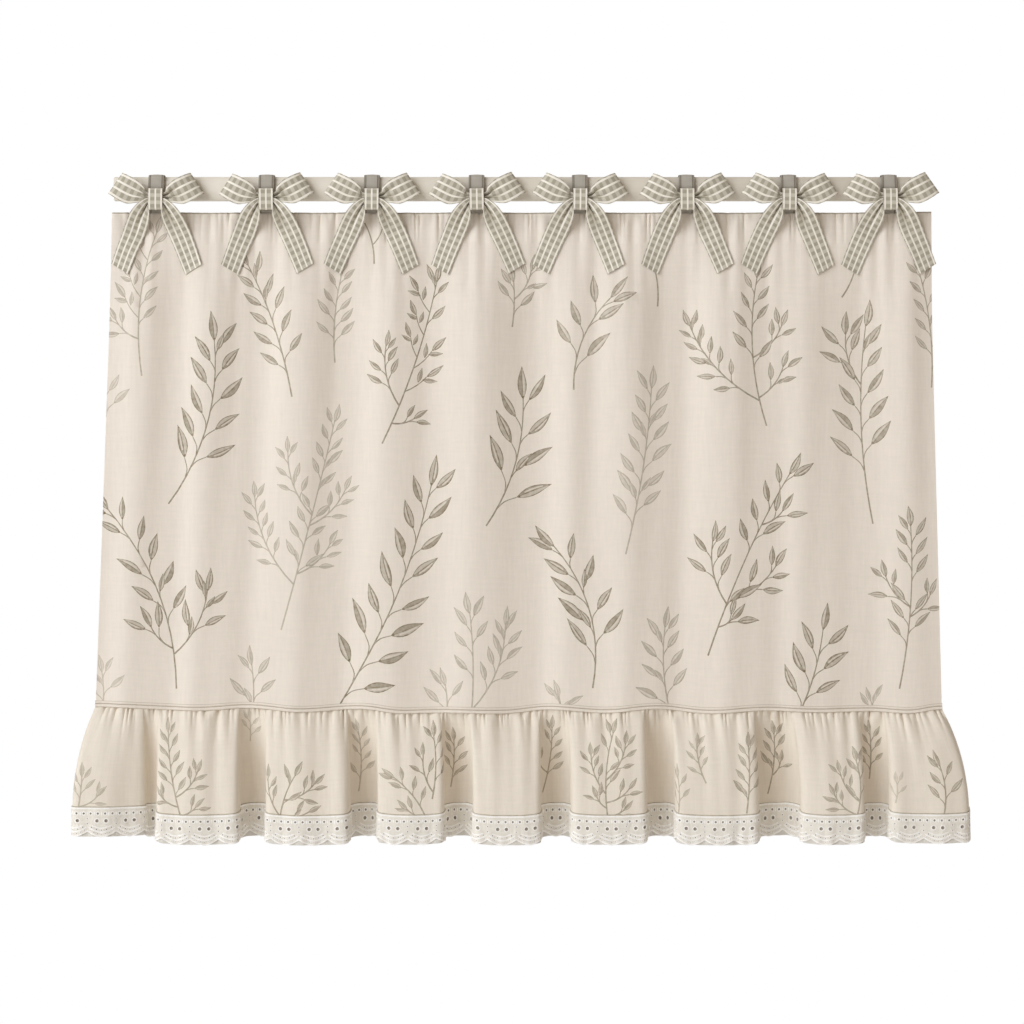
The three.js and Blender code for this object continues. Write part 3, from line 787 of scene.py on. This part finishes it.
# One loop along its own axis from the knot, and back behind it: distance along, how much less far
# the upper edge is, the upper and lower edge beside the axis, their depths, share of the rise.
LOOP_STATIONS = [
    (0.9, 0.0, 3.4, -3.5, -14.0, -14.0, 0), (5.0, 0.0, 5.4, -7.6, -16.0, -15.6, 1),
    (11.0, 0.3, 7.4, -11.2, -17.2, -16.2, 1), (18.0, 1.2, 7.8, -11.6, -17.2, -16.8, 1),
    (25.0, 2.6, 7.8, -10.6, -15.0, -15.2, 1), (27.0, 2.9, 7.7, -10.2, -12.4, -12.4, 1),
    (24.6, 2.6, 7.4, -9.4, -10.0, -10.0, 1), (11.0, 0.6, 6.4, -7.8, -10.0, -10.2, 1),
    (0.9, 0.0, 3.3, -3.4, -11.0, -11.0, 0),
]
LOOP_ROOT = (5.9, -6.7)
LOOP_RISE = math.radians(25)

# One tail from the knot to its tip: inner edge x and z, outer edge x and z, depth and the share of
# the tip's lean.
TAIL_STATIONS = [
    (4.3, -15.0, 6.0, -7.8, -14.6, 0.0), (4.2, -19.5, 12.4, -11.4, -15.6, 0.1),
    (5.4, -25.0, 18.2, -17.8, -15.6, 0.2), (8.6, -33.0, 22.9, -26.6, -14.8, 0.4),
    (14.6, -46.6, 28.2, -39.6, -13.2, 0.7), (21.2, -62.6, 33.7, -55.0, -11.8, 1.0),
]
TAIL_MIDDLE = (-13.8, -8.0, -14.6)

# Each bow's turn in degrees, its left and right loop's length beside the usual, and how far its
# tails' tips lean.
BOWS = [
    (0.5, 0.99, 1.03, -0.6, -0.4), (-0.6, 0.98, 1.02, 0.4, 0.0), (0.4, 1.0, 1.04, 1.4, 1.0),
    (-0.8, 1.0, 1.05, 0.2, 1.2), (0.6, 1.0, 1.03, 0.8, -0.5), (-0.4, 0.99, 1.02, -0.3, 0.6),
    (0.7, 1.0, 1.04, 0.6, 0.9), (-0.5, 0.98, 1.05, 1.0, 1.2),
]
BOW_CENTRE_Z = -8.5
TAIL_GAP = 1.5  # between the panel and the middle of a tail that lies on it
KNOT = {"width": 11.0, "top": -0.6, "bottom": -16.4, "front": -16.5, "back": -9.8}
TAB = {"width": 11.3, "foot": -18.0, "pinch": -16.6}


def strip_piece(name, rails, cloth, width, closed, shape, lanes=21):
    """A ribbon between two rails, an array of (stations, 2, 3) points, as a closed sheet.

    shape gives the offset along the ribbon's face, from the share across and the run along it.
    """
    across = np.linspace(0, 1, lanes)
    middle = rails.mean(1)
    run = runs_along(middle)
    grid = rails[:, :1] + (rails[:, 1:] - rails[:, :1]) * across[None, :, None]
    normal = strip_normal(grid, closed)
    if shape:
        grid = grid + normal * shape(across[None, :], run[:, None])[..., None]
        normal = strip_normal(grid, closed)
    layers = np.stack([grid + normal * RIBBON / 2, grid - normal * RIBBON / 2])
    count = len(run)
    if closed:
        run = np.append(run, run[-1] + np.linalg.norm(middle[0] - middle[-1]))
    faces, flat = [], []

    def add(ring, flip):
        ring = ring[::-1] if flip else ring
        faces.append([(side * count + i % count) * lanes + j for side, i, j in ring])
        flat.extend((across[j] * width, run[i]) for _, i, j in ring)

    for i in range(len(run) - 1):
        for j in range(lanes - 1):
            for side in (0, 1):
                add([(side, i, j), (side, i + 1, j), (side, i + 1, j + 1), (side, i, j + 1)], side)
        for j in (0, lanes - 1):
            add([(0, i, j), (1, i, j), (1, i + 1, j), (0, i + 1, j)], j)
    for i in () if closed else (0, count - 1):
        for j in range(lanes - 1):
            add([(0, i, j), (1, i, j), (1, i, j + 1), (0, i, j + 1)], not i)
    piece = mesh_piece(name, layers.reshape(-1, 3) * MM, faces, [cloth])
    add_map(piece.data, "Cloth", np.array(flat) * MM)
    return piece, float(run[-1])


def strip_normal(grid, closed):
    if closed:
        wrapped = np.concatenate([grid[-1:], grid, grid[:1]])
        along = (wrapped[2:] - wrapped[:-2]) / 2
    else:
        along = np.gradient(grid, axis=0)
    return unit(np.cross(along, np.gradient(grid, axis=1)))


def placed(points, bow):
    """Moves points from a bow's own frame to its place, turned about its middle."""
    turn = math.radians(BOWS[bow][0])
    cos, sin = math.cos(turn), math.sin(turn)
    x, y, z = points[..., 0], points[..., 1], points[..., 2] - BOW_CENTRE_Z
    return np.stack([KNOT_XS[bow] + x * cos + z * sin, y, BOW_CENTRE_Z - x * sin + z * cos], -1)


def loop_rails(bow):
    along, short, up, down, up_y, down_y, share = np.array(LOOP_STATIONS).T
    cos, sin = np.cos(LOOP_RISE * share), np.sin(LOOP_RISE * share)
    sides = []
    for side, widen in zip((-1, 1), BOWS[bow][1:3]):
        for out, beside, y in ((along - short, up, up_y), (along, down, down_y)):
            x = LOOP_ROOT[0] + out * widen * cos - beside * sin
            z = LOOP_ROOT[1] + out * widen * sin + beside * cos
            sides.append(np.stack([side * x, y, z], -1))
    left, right = np.hstack(sides[:2]), np.hstack(sides[2:])
    stations = np.vstack([right, left[::-1]])
    return placed(smooth_line(stations, 7, closed=True).reshape(-1, 2, 3), bow)


def tail_rails(bow):
    low, high, y = TAIL_MIDDLE
    stations = [[0, y, high, 0, y, low]]
    for side, lean in zip((-1, 1), BOWS[bow][3:5]):
        for in_x, in_z, out_x, out_z, y, reach in TAIL_STATIONS:
            xs = side * (out_x + lean * reach), side * (in_x + lean * reach)
            station = [xs[0], y, out_z, xs[1], y, in_z]
            stations.insert(0 if side < 0 else len(stations), station)
    rails = placed(smooth_line(np.array(stations), 7).reshape(-1, 2, 3), bow)
    below = PANEL_TOP - rails[..., 2]
    lying = CLOTH_Y - panel_front(rails[..., 0], np.clip(below, 0, None)) - TAIL_GAP
    rails[..., 1] = mix(rails[..., 1], lying, smoothstep(-4, 20, below))
    return rails


# ---- Materials


def srgb(red, green, blue):
    """A colour given as it looks, in the renderer's own numbers."""
    def straight(value):
        value /= 255
        return value / 12.92 if value <= 0.04045 else ((value + 0.055) / 1.055) ** 2.4
    return (straight(red), straight(green), straight(blue), 1.0)


def add_node(tree, kind, inputs=None, **settings):
    """A node with its inputs given as values or as sockets to link."""
    node = tree.nodes.new("ShaderNode" + kind)
    for key, value in settings.items():
        setattr(node, key, value)
    for key, value in (inputs or {}).items():
        if isinstance(value, bpy.types.NodeSocket):
            tree.links.new(value, node.inputs[key])
        else:
            node.inputs[key].default_value = value
    return node


def calc(tree, operation, *values):
    inputs = dict(enumerate(values))
    return add_node(tree, "Math", inputs, operation=operation).outputs[0]


def new_group(name, inputs, outputs):
    """A shader group. Returns the group, its input and its output."""
    group = bpy.data.node_groups.new(name, "ShaderNodeTree")
    for socket, kind in inputs.items():
        group.interface.new_socket(name=socket, in_out="INPUT", socket_type="NodeSocket" + kind)
    for socket in outputs:
        group.interface.new_socket(name=socket, in_out="OUTPUT", socket_type="NodeSocketFloat")
    return group, group.nodes.new("NodeGroupInput"), group.nodes.new("NodeGroupOutput")


def stretched_noise(tree, place, scale, inputs):
    """Noise with a scale of its own along each axis."""
    places = add_node(tree, "VectorMath", {0: place, 1: scale}, operation="MULTIPLY")
    inputs = {"Vector": places.outputs[0], "Scale": 1.0, **inputs}
    return add_node(tree, "TexNoise", inputs).outputs["Fac"]


def ramp(tree, value, start, end):
    """0 at the start value, 1 at the end value, straight between them."""
    inputs = {"Value": value, "From Min": start, "From Max": end}
    return add_node(tree, "MapRange", inputs).outputs[0]


def lines_at(tree, value, centres, outer, inner):
    """Lines where a value is near one of the centres, full up to inner and gone from outer on."""
    lines = []
    for centre in centres:
        away = calc(tree, "ABSOLUTE", calc(tree, "SUBTRACT", value, centre))
        lines.append(ramp(tree, away, outer, inner))
        if len(lines) > 1:
            lines = [calc(tree, "MAXIMUM", *lines)]
    return lines[0]


def weave_group():
    """Plain weave with uneven threads: a height, and a shade that streaks along the threads."""
    inputs = {"Place": "Vector", "Thread mm": "Float", "Streaks": "Float"}
    group, given, result = new_group("Linen Weave", inputs, ("Shade", "Height"))
    place = given.outputs["Place"]
    part = add_node(group, "SeparateXYZ", {0: place})
    turns = calc(group, "DIVIDE", 2 * math.pi / MM, given.outputs["Thread mm"])
    waves = [calc(group, "SINE", calc(group, "MULTIPLY", part.outputs[axis], turns)) for axis in (0, 1)]
    height = calc(group, "MULTIPLY_ADD", calc(group, "ADD", *waves), 0.25, 0.5)
    streaks = []
    for scale in ((520.0, 50.0, 1.0), (50.0, 480.0, 1.0)):
        noise = stretched_noise(group, place, scale, {"Detail": 2.0, "Roughness": 0.6})
        streaks.append(calc(group, "SUBTRACT", noise, 0.5))
    both = calc(group, "ADD", streaks[0], calc(group, "MULTIPLY", streaks[1], 0.6))
    shade = calc(group, "MULTIPLY_ADD", both, calc(group, "MULTIPLY", given.outputs["Streaks"], 2.0), 1.0)
    group.links.new(shade, result.inputs["Shade"])
    group.links.new(calc(group, "MULTIPLY_ADD", both, 0.8, height), result.inputs["Height"])
    return group


def cloth_map(tree):
    return add_node(tree, "UVMap", uv_map="Cloth").outputs["UV"]


def cloth_part(tree, axis):
    return add_node(tree, "SeparateXYZ", {0: cloth_map(tree)}).outputs[axis]


def cloth_print(tree):
    return add_node(tree, "Attribute", attribute_name="Print").outputs["Fac"]


def mixed_colour(tree, share, first, second, blend="MIX"):
    inputs = {0: share, 6: first, 7: second}
    return add_node(tree, "Mix", inputs, data_type="RGBA", blend_type=blend).outputs[2]


def new_material(name, roughness, sheen=0.0, specular=0.25):
    material = bpy.data.materials.new(name)
    material.use_nodes = True
    tree = material.node_tree
    surface = tree.nodes["Principled BSDF"]
    surface.inputs["Roughness"].default_value = roughness
    surface.inputs["Specular IOR Level"].default_value = specular
    surface.inputs["Sheen Weight"].default_value = sheen
    surface.inputs["Sheen Roughness"].default_value = 0.5
    return material, tree, surface


def shaded(tree, colour, shade):
    """A colour made lighter or darker by a shade round 1."""
    grey = add_node(tree, "CombineColor", {0: shade, 1: shade, 2: shade}).outputs[0]
    return mixed_colour(tree, 1.0, colour, grey, "MULTIPLY")


def add_bump(tree, surface, height, distance, strength):
    inputs = {"Height": height, "Distance": distance * MM, "Strength": strength}
    bump = add_node(tree, "Bump", inputs)
    tree.links.new(bump.outputs[0], surface.inputs["Normal"])


def new_cloth(name, roughness, sheen, weave, thread, streaks):
    """A woven material: its tree, its threads' height, and what gives it colour and relief."""
    material, tree, surface = new_material(name, roughness, sheen)
    inputs = {"Place": cloth_map(tree), "Thread mm": thread, "Streaks": streaks}
    threads = add_node(tree, "Group", inputs, node_tree=weave)

    def finish(colour, height, distance, strength):
        tree.links.new(shaded(tree, colour, threads.outputs["Shade"]), surface.inputs["Base Color"])
        add_bump(tree, surface, height, distance, strength)
        return material

    return tree, threads.outputs["Height"], finish


CREAM = srgb(237, 228, 216)
INK = srgb(120, 105, 74)


def linen_material(name, weave, ink_share, cream=CREAM):
    """Cream linen with the sprigs printed in olive grey."""
    tree, height, finish = new_cloth(name, 0.92, 0.08, weave, 0.55, 0.06)
    inputs = {"Vector": cloth_map(tree), "Scale": 320.0, "Detail": 2.0}
    wash = add_node(tree, "TexNoise", inputs).outputs["Fac"]
    strength = calc(tree, "MULTIPLY", cloth_print(tree), calc(tree, "ADD", wash, 0.5))
    strength = calc(tree, "MULTIPLY", strength, ink_share)
    return finish(mixed_colour(tree, strength, cream, INK), height, 0.12, 0.35)


def lace_material(weave):
    tree, height, finish = new_cloth("Eyelet lace", 0.9, 0.1, weave, 0.7, 0.1)
    thread = cloth_print(tree)
    colour = mixed_colour(tree, thread, srgb(237, 232, 222), srgb(255, 253, 249))
    return finish(colour, calc(tree, "ADD", thread, height), 0.15, 0.5)


def net_material(name, weave, ground):
    """Fine net, pale along its hem."""
    tree, height, finish = new_cloth(name, 0.95, 0.0, weave, 0.7, 0.1)
    # The dark ground given for the front net is painted shade for the eyelet holes; the hem and the back
    # keep pale colours.
    return finish(mixed_colour(tree, cloth_print(tree), ground, srgb(224, 220, 212)), height, 0.2, 0.6)


def check_group():
    """The ribbon's check: cream lengthwise stripes on sage, with darker bars across."""
    inputs = {"Across mm": "Float", "Along mm": "Float"}
    group, given, result = new_group("Ribbon Check", inputs, ("Stripe", "Bar"))
    stripe = lines_at(group, given.outputs["Across mm"], (1.25, 5.8, 10.3, 14.8), 0.75, 0.5)
    group.links.new(stripe, result.inputs["Stripe"])
    wave = calc(group, "SINE", calc(group, "MULTIPLY", given.outputs["Along mm"], 2 * math.pi / 5.2))
    group.links.new(ramp(group, wave, -0.3, 0.3), result.inputs["Bar"])
    return group


def ribbon_material(name, weave, check):
    tree, height, finish = new_cloth(name, 0.75, 0.15, weave, 0.45, 0.1)
    across, along = (calc(tree, "MULTIPLY", cloth_part(tree, axis), 1 / MM) for axis in (0, 1))
    inputs = {"Across mm": across, "Along mm": along}
    pattern = add_node(tree, "Group", inputs, node_tree=check)
    sage = mixed_colour(tree, pattern.outputs["Bar"], srgb(203, 197, 182), srgb(172, 165, 148))
    colour = mixed_colour(tree, pattern.outputs["Stripe"], sage, srgb(246, 241, 229))
    return finish(colour, calc(tree, "ADD", pattern.outputs["Stripe"], height), 0.12, 0.5)


def binding_material(weave):
    """Cream cloth with thin darker lines along its top edge, above its cord and at its foot."""
    tree, height, finish = new_cloth("Binding cloth", 0.9, 0.1, weave, 0.5, 0.08)
    heights = [line * MM for line in (-0.05, -2.15, -4.75)]
    lines = lines_at(tree, cloth_part(tree, 1), heights, 0.45 * MM, 0.15 * MM)
    colour = mixed_colour(tree, calc(tree, "MULTIPLY", lines, 0.6), CREAM, srgb(160, 146, 122))
    return finish(colour, height, 0.12, 0.5)


def tab_material(weave):
    """Grey cloth, turned under along both sides and sewn down beside the turned edges. Painted shade
    darkens the narrow strips along both sides.
    """
    tree, height, finish = new_cloth("Tab cloth", 0.9, 0.1, weave, 0.5, 0.08)
    centre = TAB["width"] / 2 * MM
    away = calc(tree, "ABSOLUTE", calc(tree, "SUBTRACT", cloth_part(tree, 0), centre))
    # Painted shade: the strips along both sides are darker, like the shade on a rounded tab.
    painted_side_shade = ramp(tree, away, 3.9 * MM, 4.4 * MM)
    seam = lines_at(tree, away, [4.2 * MM], 0.4 * MM, 0.15 * MM)
    colour = mixed_colour(tree, painted_side_shade, srgb(184, 178, 168), srgb(158, 150, 138))
    colour = mixed_colour(tree, calc(tree, "MULTIPLY", seam, 0.8), colour, srgb(112, 101, 88))
    return finish(colour, calc(tree, "SUBTRACT", height, seam), 0.2, 0.5)


def bar_material():
    """Cream lacquer with the faintest brushing along the bar."""
    material, tree, surface = new_material("Bar lacquer", 0.5)
    place = add_node(tree, "TexCoord").outputs["Object"]
    grain = stretched_noise(tree, place, (6.0, 400.0, 400.0), {"Detail": 3.0})
    shade = calc(tree, "MULTIPLY_ADD", grain, 0.05, 0.975)
    tree.links.new(shaded(tree, srgb(229, 222, 209), shade), surface.inputs["Base Color"])
    add_bump(tree, surface, grain, 0.05, 0.2)
    return material


# ---- Making the pieces


def claim(piece, node, slot):
    """Hides the solid that a piece stands in for and puts the piece in the root body. Its slot argument is
    not used.
    """
    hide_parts(node)
    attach(piece, "root")


def tube_faces(count, lanes):
    """The faces of rings of points laid one after the other, closed at both ends."""
    faces = []
    for start in range(0, (count - 1) * lanes, lanes):
        for j in range(lanes):
            k = (j + 1) % lanes
            faces.append([start + j, start + k, start + lanes + k, start + lanes + j])
    return faces + [[*range(lanes)][::-1], [*range((count - 1) * lanes, count * lanes)]]


def make_binding(material):
    """The seam's binding: a flat stitched upper part and a rounded cord below it."""
    x = np.linspace(FOOT_LEFT - 0.4, FOOT_RIGHT + 0.4, 320)
    top = SEAM_TOP - seam_dip(x) + 0.6
    y = CLOTH_Y - panel_front(x, PANEL_DROP)
    section = [(0.0, -0.3), (-0.1, 0.45), (-0.9, 0.62), (-1.7, 0.5), (-2.05, 0.28), (-2.35, 0.6)]
    cord = np.linspace(math.radians(60), math.radians(-75), 8)
    section += [(-3.45 + 1.3 * math.sin(a), 0.35 + 1.1 * math.cos(a)) for a in cord]
    section += [(-4.8, 0.0), (-4.6, -0.7), (-0.3, -0.7)]
    lanes = len(section)
    down, front = np.array(section).T
    grid = np.stack([x[:, None] + 0 * down, y[:, None] - front, top[:, None] + down], -1)
    cloth = []
    lower = np.append(down[1:], down[-1] - 0.3)
    for start, end in zip(x, x[1:]):
        for high, low in zip(down, lower):
            cloth += [(start, high), (start, low), (end, low), (end, high)]
    cloth += [(end + j, 0) for end in (x[0], x[-1]) for j in range(lanes)]
    piece = mesh_piece("seam_binding", grid.reshape(-1, 3) * MM, tube_faces(len(x), lanes), [material])
    add_map(piece.data, "Cloth", np.array(cloth) * MM)
    return piece


def make_bar(material):
    """The bar with its crowned front, flat back and finely rounded edges."""
    height, depth = BAR_HIGH[2] - BAR_LOW[2], BAR_HIGH[1] - BAR_LOW[1]
    edge, crown = 2.2, 16.0
    top = height / 2 - edge
    lean = math.asin(top / (crown - edge))
    middle = crown - depth
    front = middle - (crown - edge) * math.cos(lean)
    down = -math.pi / 2
    arcs = [
        (0, middle, crown, down - lean, down + lean), (top, front, edge, down + lean, 0),
        (top, -edge, edge, 0, math.pi / 2), (-top, -edge, edge, math.pi / 2, math.pi),
        (-top, front, edge, math.pi, math.pi * 1.5 - lean),
    ]
    section = []
    for z, y, radius, start, end in arcs:
        angles = np.linspace(start, end, 9) if radius == edge else np.linspace(start, end, 11)[:-1]
        for angle in angles:
            section.append((BAR_HIGH[1] + y + radius * math.sin(angle), z + radius * math.cos(angle)))
    bevel, taper = 0.5, 0.94
    centre = np.array([(BAR_LOW[1] + BAR_HIGH[1]) / 2, 0])
    rings = []
    for x, scale in (
        (BAR_LOW[0], taper), (BAR_LOW[0] + bevel, 1), (BAR_HIGH[0] - bevel, 1), (BAR_HIGH[0], taper)
    ):
        rings += [(x, *(centre + (point - centre) * scale)) for point in np.array(section)]
    return mesh_piece("cream_bar", np.array(rings) * MM, tube_faces(4, len(section)), [material])


def loop_puckers(length):
    """Two deep creases that run out from the knot on the loops' front, with puffs beside them."""
    def shape(across, run):
        away = np.minimum(run, length - run)
        fade = np.exp(-(np.clip(away - 4, 0, None) / 8) ** 2)
        creases = 4.4 * np.exp(-((across - 0.34) / 0.075) ** 2)
        creases += 3.4 * np.exp(-((across - 0.67) / 0.07) ** 2)
        puffs = 0.8 * np.sin(np.pi * across) ** 2 * np.exp(-((away - 10) / 9) ** 2)
        return creases * fade - puffs
    return shape


def tail_valley(length):
    """The valley that starts beside the knot and fades down each tail."""
    def shape(across, run):
        away = np.abs(run - length / 2)
        valley = np.exp(-((across - 0.56) / 0.09) ** 2)
        fade = smoothstep(2, 6, away) * np.exp(-(np.clip(away - 8, 0, None) / 13) ** 2)
        return (4.6 * valley - 0.8) * fade
    return shape


def tab_crown(across, run):
    """The tab's face is a little fuller along its middle."""
    return -0.45 * np.sin(np.pi * across) ** 0.8


def make_bow(bow, ribbon, knot_ribbon, tab_cloth):
    """A bow's loops, tails and knot, and the tab they sit on."""
    loops, tails = loop_rails(bow), tail_rails(bow)
    creases = loop_puckers(runs_along(loops.mean(1))[-1])
    valley = tail_valley(runs_along(tails.mean(1))[-1])
    strips = [
        ("ribbon_loops", "bow_loops", "folded", loops, ribbon, RIBBON_WIDTH, True, creases),
        ("ribbon_tails", "bow_tails", "hung", tails, ribbon, RIBBON_WIDTH, False, valley),
        ("ribbon_knot", "knot", "folded", knot_rails(bow), knot_ribbon, KNOT["width"], True, None),
        ("bar_tab", "tab", "folded", tab_rails(bow), tab_cloth, TAB["width"], False, tab_crown),
    ]
    number = bow + 1
    made = []
    for name, node, held, rails, cloth, width, closed, shape in strips:
        piece, run = strip_piece(f"{name}_{number}", rails, cloth, width, closed, shape)
        made.append((piece, node, held, (width * MM, run * MM)))
    for piece, node, held, flat in made:
        slot, rest = ("tab", "cream_bar") if node == "tab" else ("ribbon", f"bar_tab_{number}")
        claim(piece, f"{node}_{number}", slot)


def knot_rails(bow):
    """A band wound round a box with rounded corners."""
    steps = 40
    angles = 2 * math.pi * (np.arange(steps) + 0.5) / steps
    rounded = []
    for wave, low, high, power in (
        (np.cos(angles), KNOT["front"], KNOT["back"], 0.5),
        (np.sin(angles), KNOT["bottom"], KNOT["top"], 0.45),
    ):
        reach = (high - low - RIBBON) / 2
        rounded.append((low + high) / 2 + reach * np.copysign(np.abs(wave) ** power, wave))
    half = np.full(steps, KNOT["width"] / 2 - 0.25)
    return placed(np.stack([np.stack([x, *rounded], -1) for x in (-half, half)], 1), bow)


def tab_rails(bow):
    """Up the bar's front from the panel's hem, over the bar and down its back to the hem."""
    away, leg, corner = 0.9, 1.25, 2.2
    bend = corner + away
    high = BAR_HIGH[2] - corner
    depth = BAR_HIGH[1] - BAR_LOW[1]
    front = -depth - away
    path = [(CLOTH_Y - leg, TAB["foot"]), (CLOTH_Y - leg, TAB["pinch"]), (front, -high)]
    path += [(front, -2.2), (front - 1.3, 1.2), (front - 0.5, 4.6)]
    for middle, start in ((corner - depth, math.pi), (-corner, math.pi / 2)):
        for angle in np.linspace(start, start - math.pi / 2, 5):
            path.append((middle + bend * math.cos(angle), high + bend * math.sin(angle)))
    path += [(away, -high), (CLOTH_Y + leg, TAB["pinch"]), (CLOTH_Y + leg, TAB["foot"])]
    line = smooth_line(path, 4)
    half = TAB["width"] / 2
    return np.stack([np.insert(line, 0, KNOT_XS[bow] + aside, axis=1) for aside in (-half, half)], 1)


# ---- Stage


def looked_at(tree):
    """1 for what the camera sees, straight or as a reflection."""
    path = add_node(tree, "LightPath")
    return calc(tree, "MAXIMUM", path.outputs["Is Camera Ray"], path.outputs["Is Glossy Ray"])


def make_floor():
    """A pale floor below the curtain, white where only the camera looks past it."""
    size, height = 30.0, CAD_BOX[0].z - 0.42
    mesh = bpy.data.meshes.new("floor")
    corners = [(x * size, y * size, height) for x, y in ((-1, -1), (1, -1), (1, 1), (-1, 1))]
    mesh.from_pydata(corners, [], [(0, 1, 2, 3)])
    material, tree, surface = new_material("Pale floor", 0.9, specular=0.1)
    surface.inputs["Base Color"].default_value = (0.93, 0.93, 0.93, 1)
    glow = add_node(tree, "Emission", {"Color": (1, 1, 1, 1), "Strength": 1.0})
    place = add_node(tree, "TexCoord").outputs["Object"]
    far = add_node(tree, "VectorMath", {0: place, 1: (1.0, 1.0, 0.0)}, operation="MULTIPLY")
    distance = add_node(tree, "VectorMath", {0: far.outputs[0]}, operation="LENGTH")
    inputs = {"Value": distance.outputs["Value"], "From Min": 0.35, "From Max": 1.3}
    fade = add_node(tree, "MapRange", inputs, interpolation_type="SMOOTHSTEP").outputs[0]
    share = calc(tree, "MULTIPLY", fade, looked_at(tree))
    white = add_node(tree, "MixShader", {0: share, 1: surface.outputs[0], 2: glow.outputs[0]})
    tree.links.new(white.outputs[0], tree.nodes["Material Output"].inputs["Surface"])
    mesh.materials.append(material)
    put("floor", mesh)


def make_world(ambient):
    """White where the camera looks past the curtain, and a warm glow all round it."""
    world = bpy.data.worlds.new("Studio")
    bpy.context.scene.world = world
    world.use_nodes = True
    tree = world.node_tree
    tree.nodes.clear()
    seen = looked_at(tree)
    glow = mixed_colour(tree, seen, (1.0, 0.865, 0.72, 1), (1, 1, 1, 1))
    strength = add_node(tree, "MapRange", {"Value": seen, "To Min": ambient, "To Max": 1.0})
    inputs = {"Color": glow, "Strength": strength.outputs[0]}
    light = add_node(tree, "Background", inputs)
    output = add_node(tree, "OutputWorld")
    tree.links.new(light.outputs[0], output.inputs["Surface"])


def make_lamp(name, place, size, power, colour, target):
    data = bpy.data.lights.new(name, "AREA")
    data.shape = "SQUARE"
    data.size = size
    data.energy = power
    data.color = colour
    lamp = put(name, data)
    lamp.location = place
    lamp.rotation_euler = (Vector(target) - Vector(place)).to_track_quat("-Z", "Y").to_euler()


def make_camera():
    """Straight in front of the curtain, level with its middle."""
    away, seen_width = 1.9, 0.7502
    data = bpy.data.cameras.new("Camera")
    data.sensor_width = 36.0
    data.lens = data.sensor_width * away / seen_width
    camera = put("Camera", data)
    camera.location = (-0.0051, CLOTH_Y * MM - away, -0.2366)
    camera.rotation_euler = (math.pi / 2, 0, 0)
    bpy.context.scene.camera = camera


# ---- The whole scene


def main():
    make_camera()
    weave = weave_group()
    check = check_group()
    front = linen_material("Printed linen", weave, 1.0)
    back = linen_material("Linen back", weave, 0.3)
    panel = sheet_piece("printed_panel", panel_pattern(), hang_panel, LINEN, [front, back], 1)
    warmer = linen_material("Ruffle linen", weave, 1.0, srgb(236, 227, 213))
    ruffle = sheet_piece("pleated_ruffle", ruffle_pattern(), hang_ruffle, LINEN, [warmer, back], 3)
    nets = [
        # The front net's dark colour is painted shade: it darkens the eyelet holes as if shadowed, while
        # the back keeps the net's pale colour.
        net_material("Net", weave, srgb(164, 155, 143)),  # dark where the eyelets show it
        net_material("Net back", weave, srgb(228, 223, 214)),
    ]
    lace = sheet_piece("eyelet_lace", lace_pattern(), hang_lace, LACE, [lace_material(weave)] * 2, 6, 0.25)
    net = sheet_piece("lace_net", net_pattern(), hang_net, NET, nets, 6)
    binding = make_binding(binding_material(weave))
    bar = make_bar(bar_material())
    for piece, node, slot in (
        (panel, "panel", "linen"), (ruffle, "ruffle", "linen"), (lace, "lace_trim", "lace"),
        (net, "lace_trim", "lace"), (binding, "binding", "binding"), (bar, "bar", "bar"),
    ):
        claim(piece, node, slot)
    ribbon = ribbon_material("Check ribbon", weave, check)
    knot_ribbon = ribbon_material("Knot ribbon", weave, check)
    tab_cloth = tab_material(weave)
    for bow in range(len(BOWS)):
        make_bow(bow, ribbon, knot_ribbon, tab_cloth)

    make_floor()
    make_world(0.35)
    middle = ((CAD_BOX[0] + CAD_BOX[1]) / 2)[:]
    make_lamp("key", (-3.82, -3.82, 1.6), 4.4, 241.0, (0.9, 0.945, 1.0), middle)
    make_lamp("back", (2.2, 4.2, 1.0), 4.0, 92.0, (1.0, 0.97, 0.93), middle)
    bpy.context.scene.view_settings.view_transform = "Standard"


main()
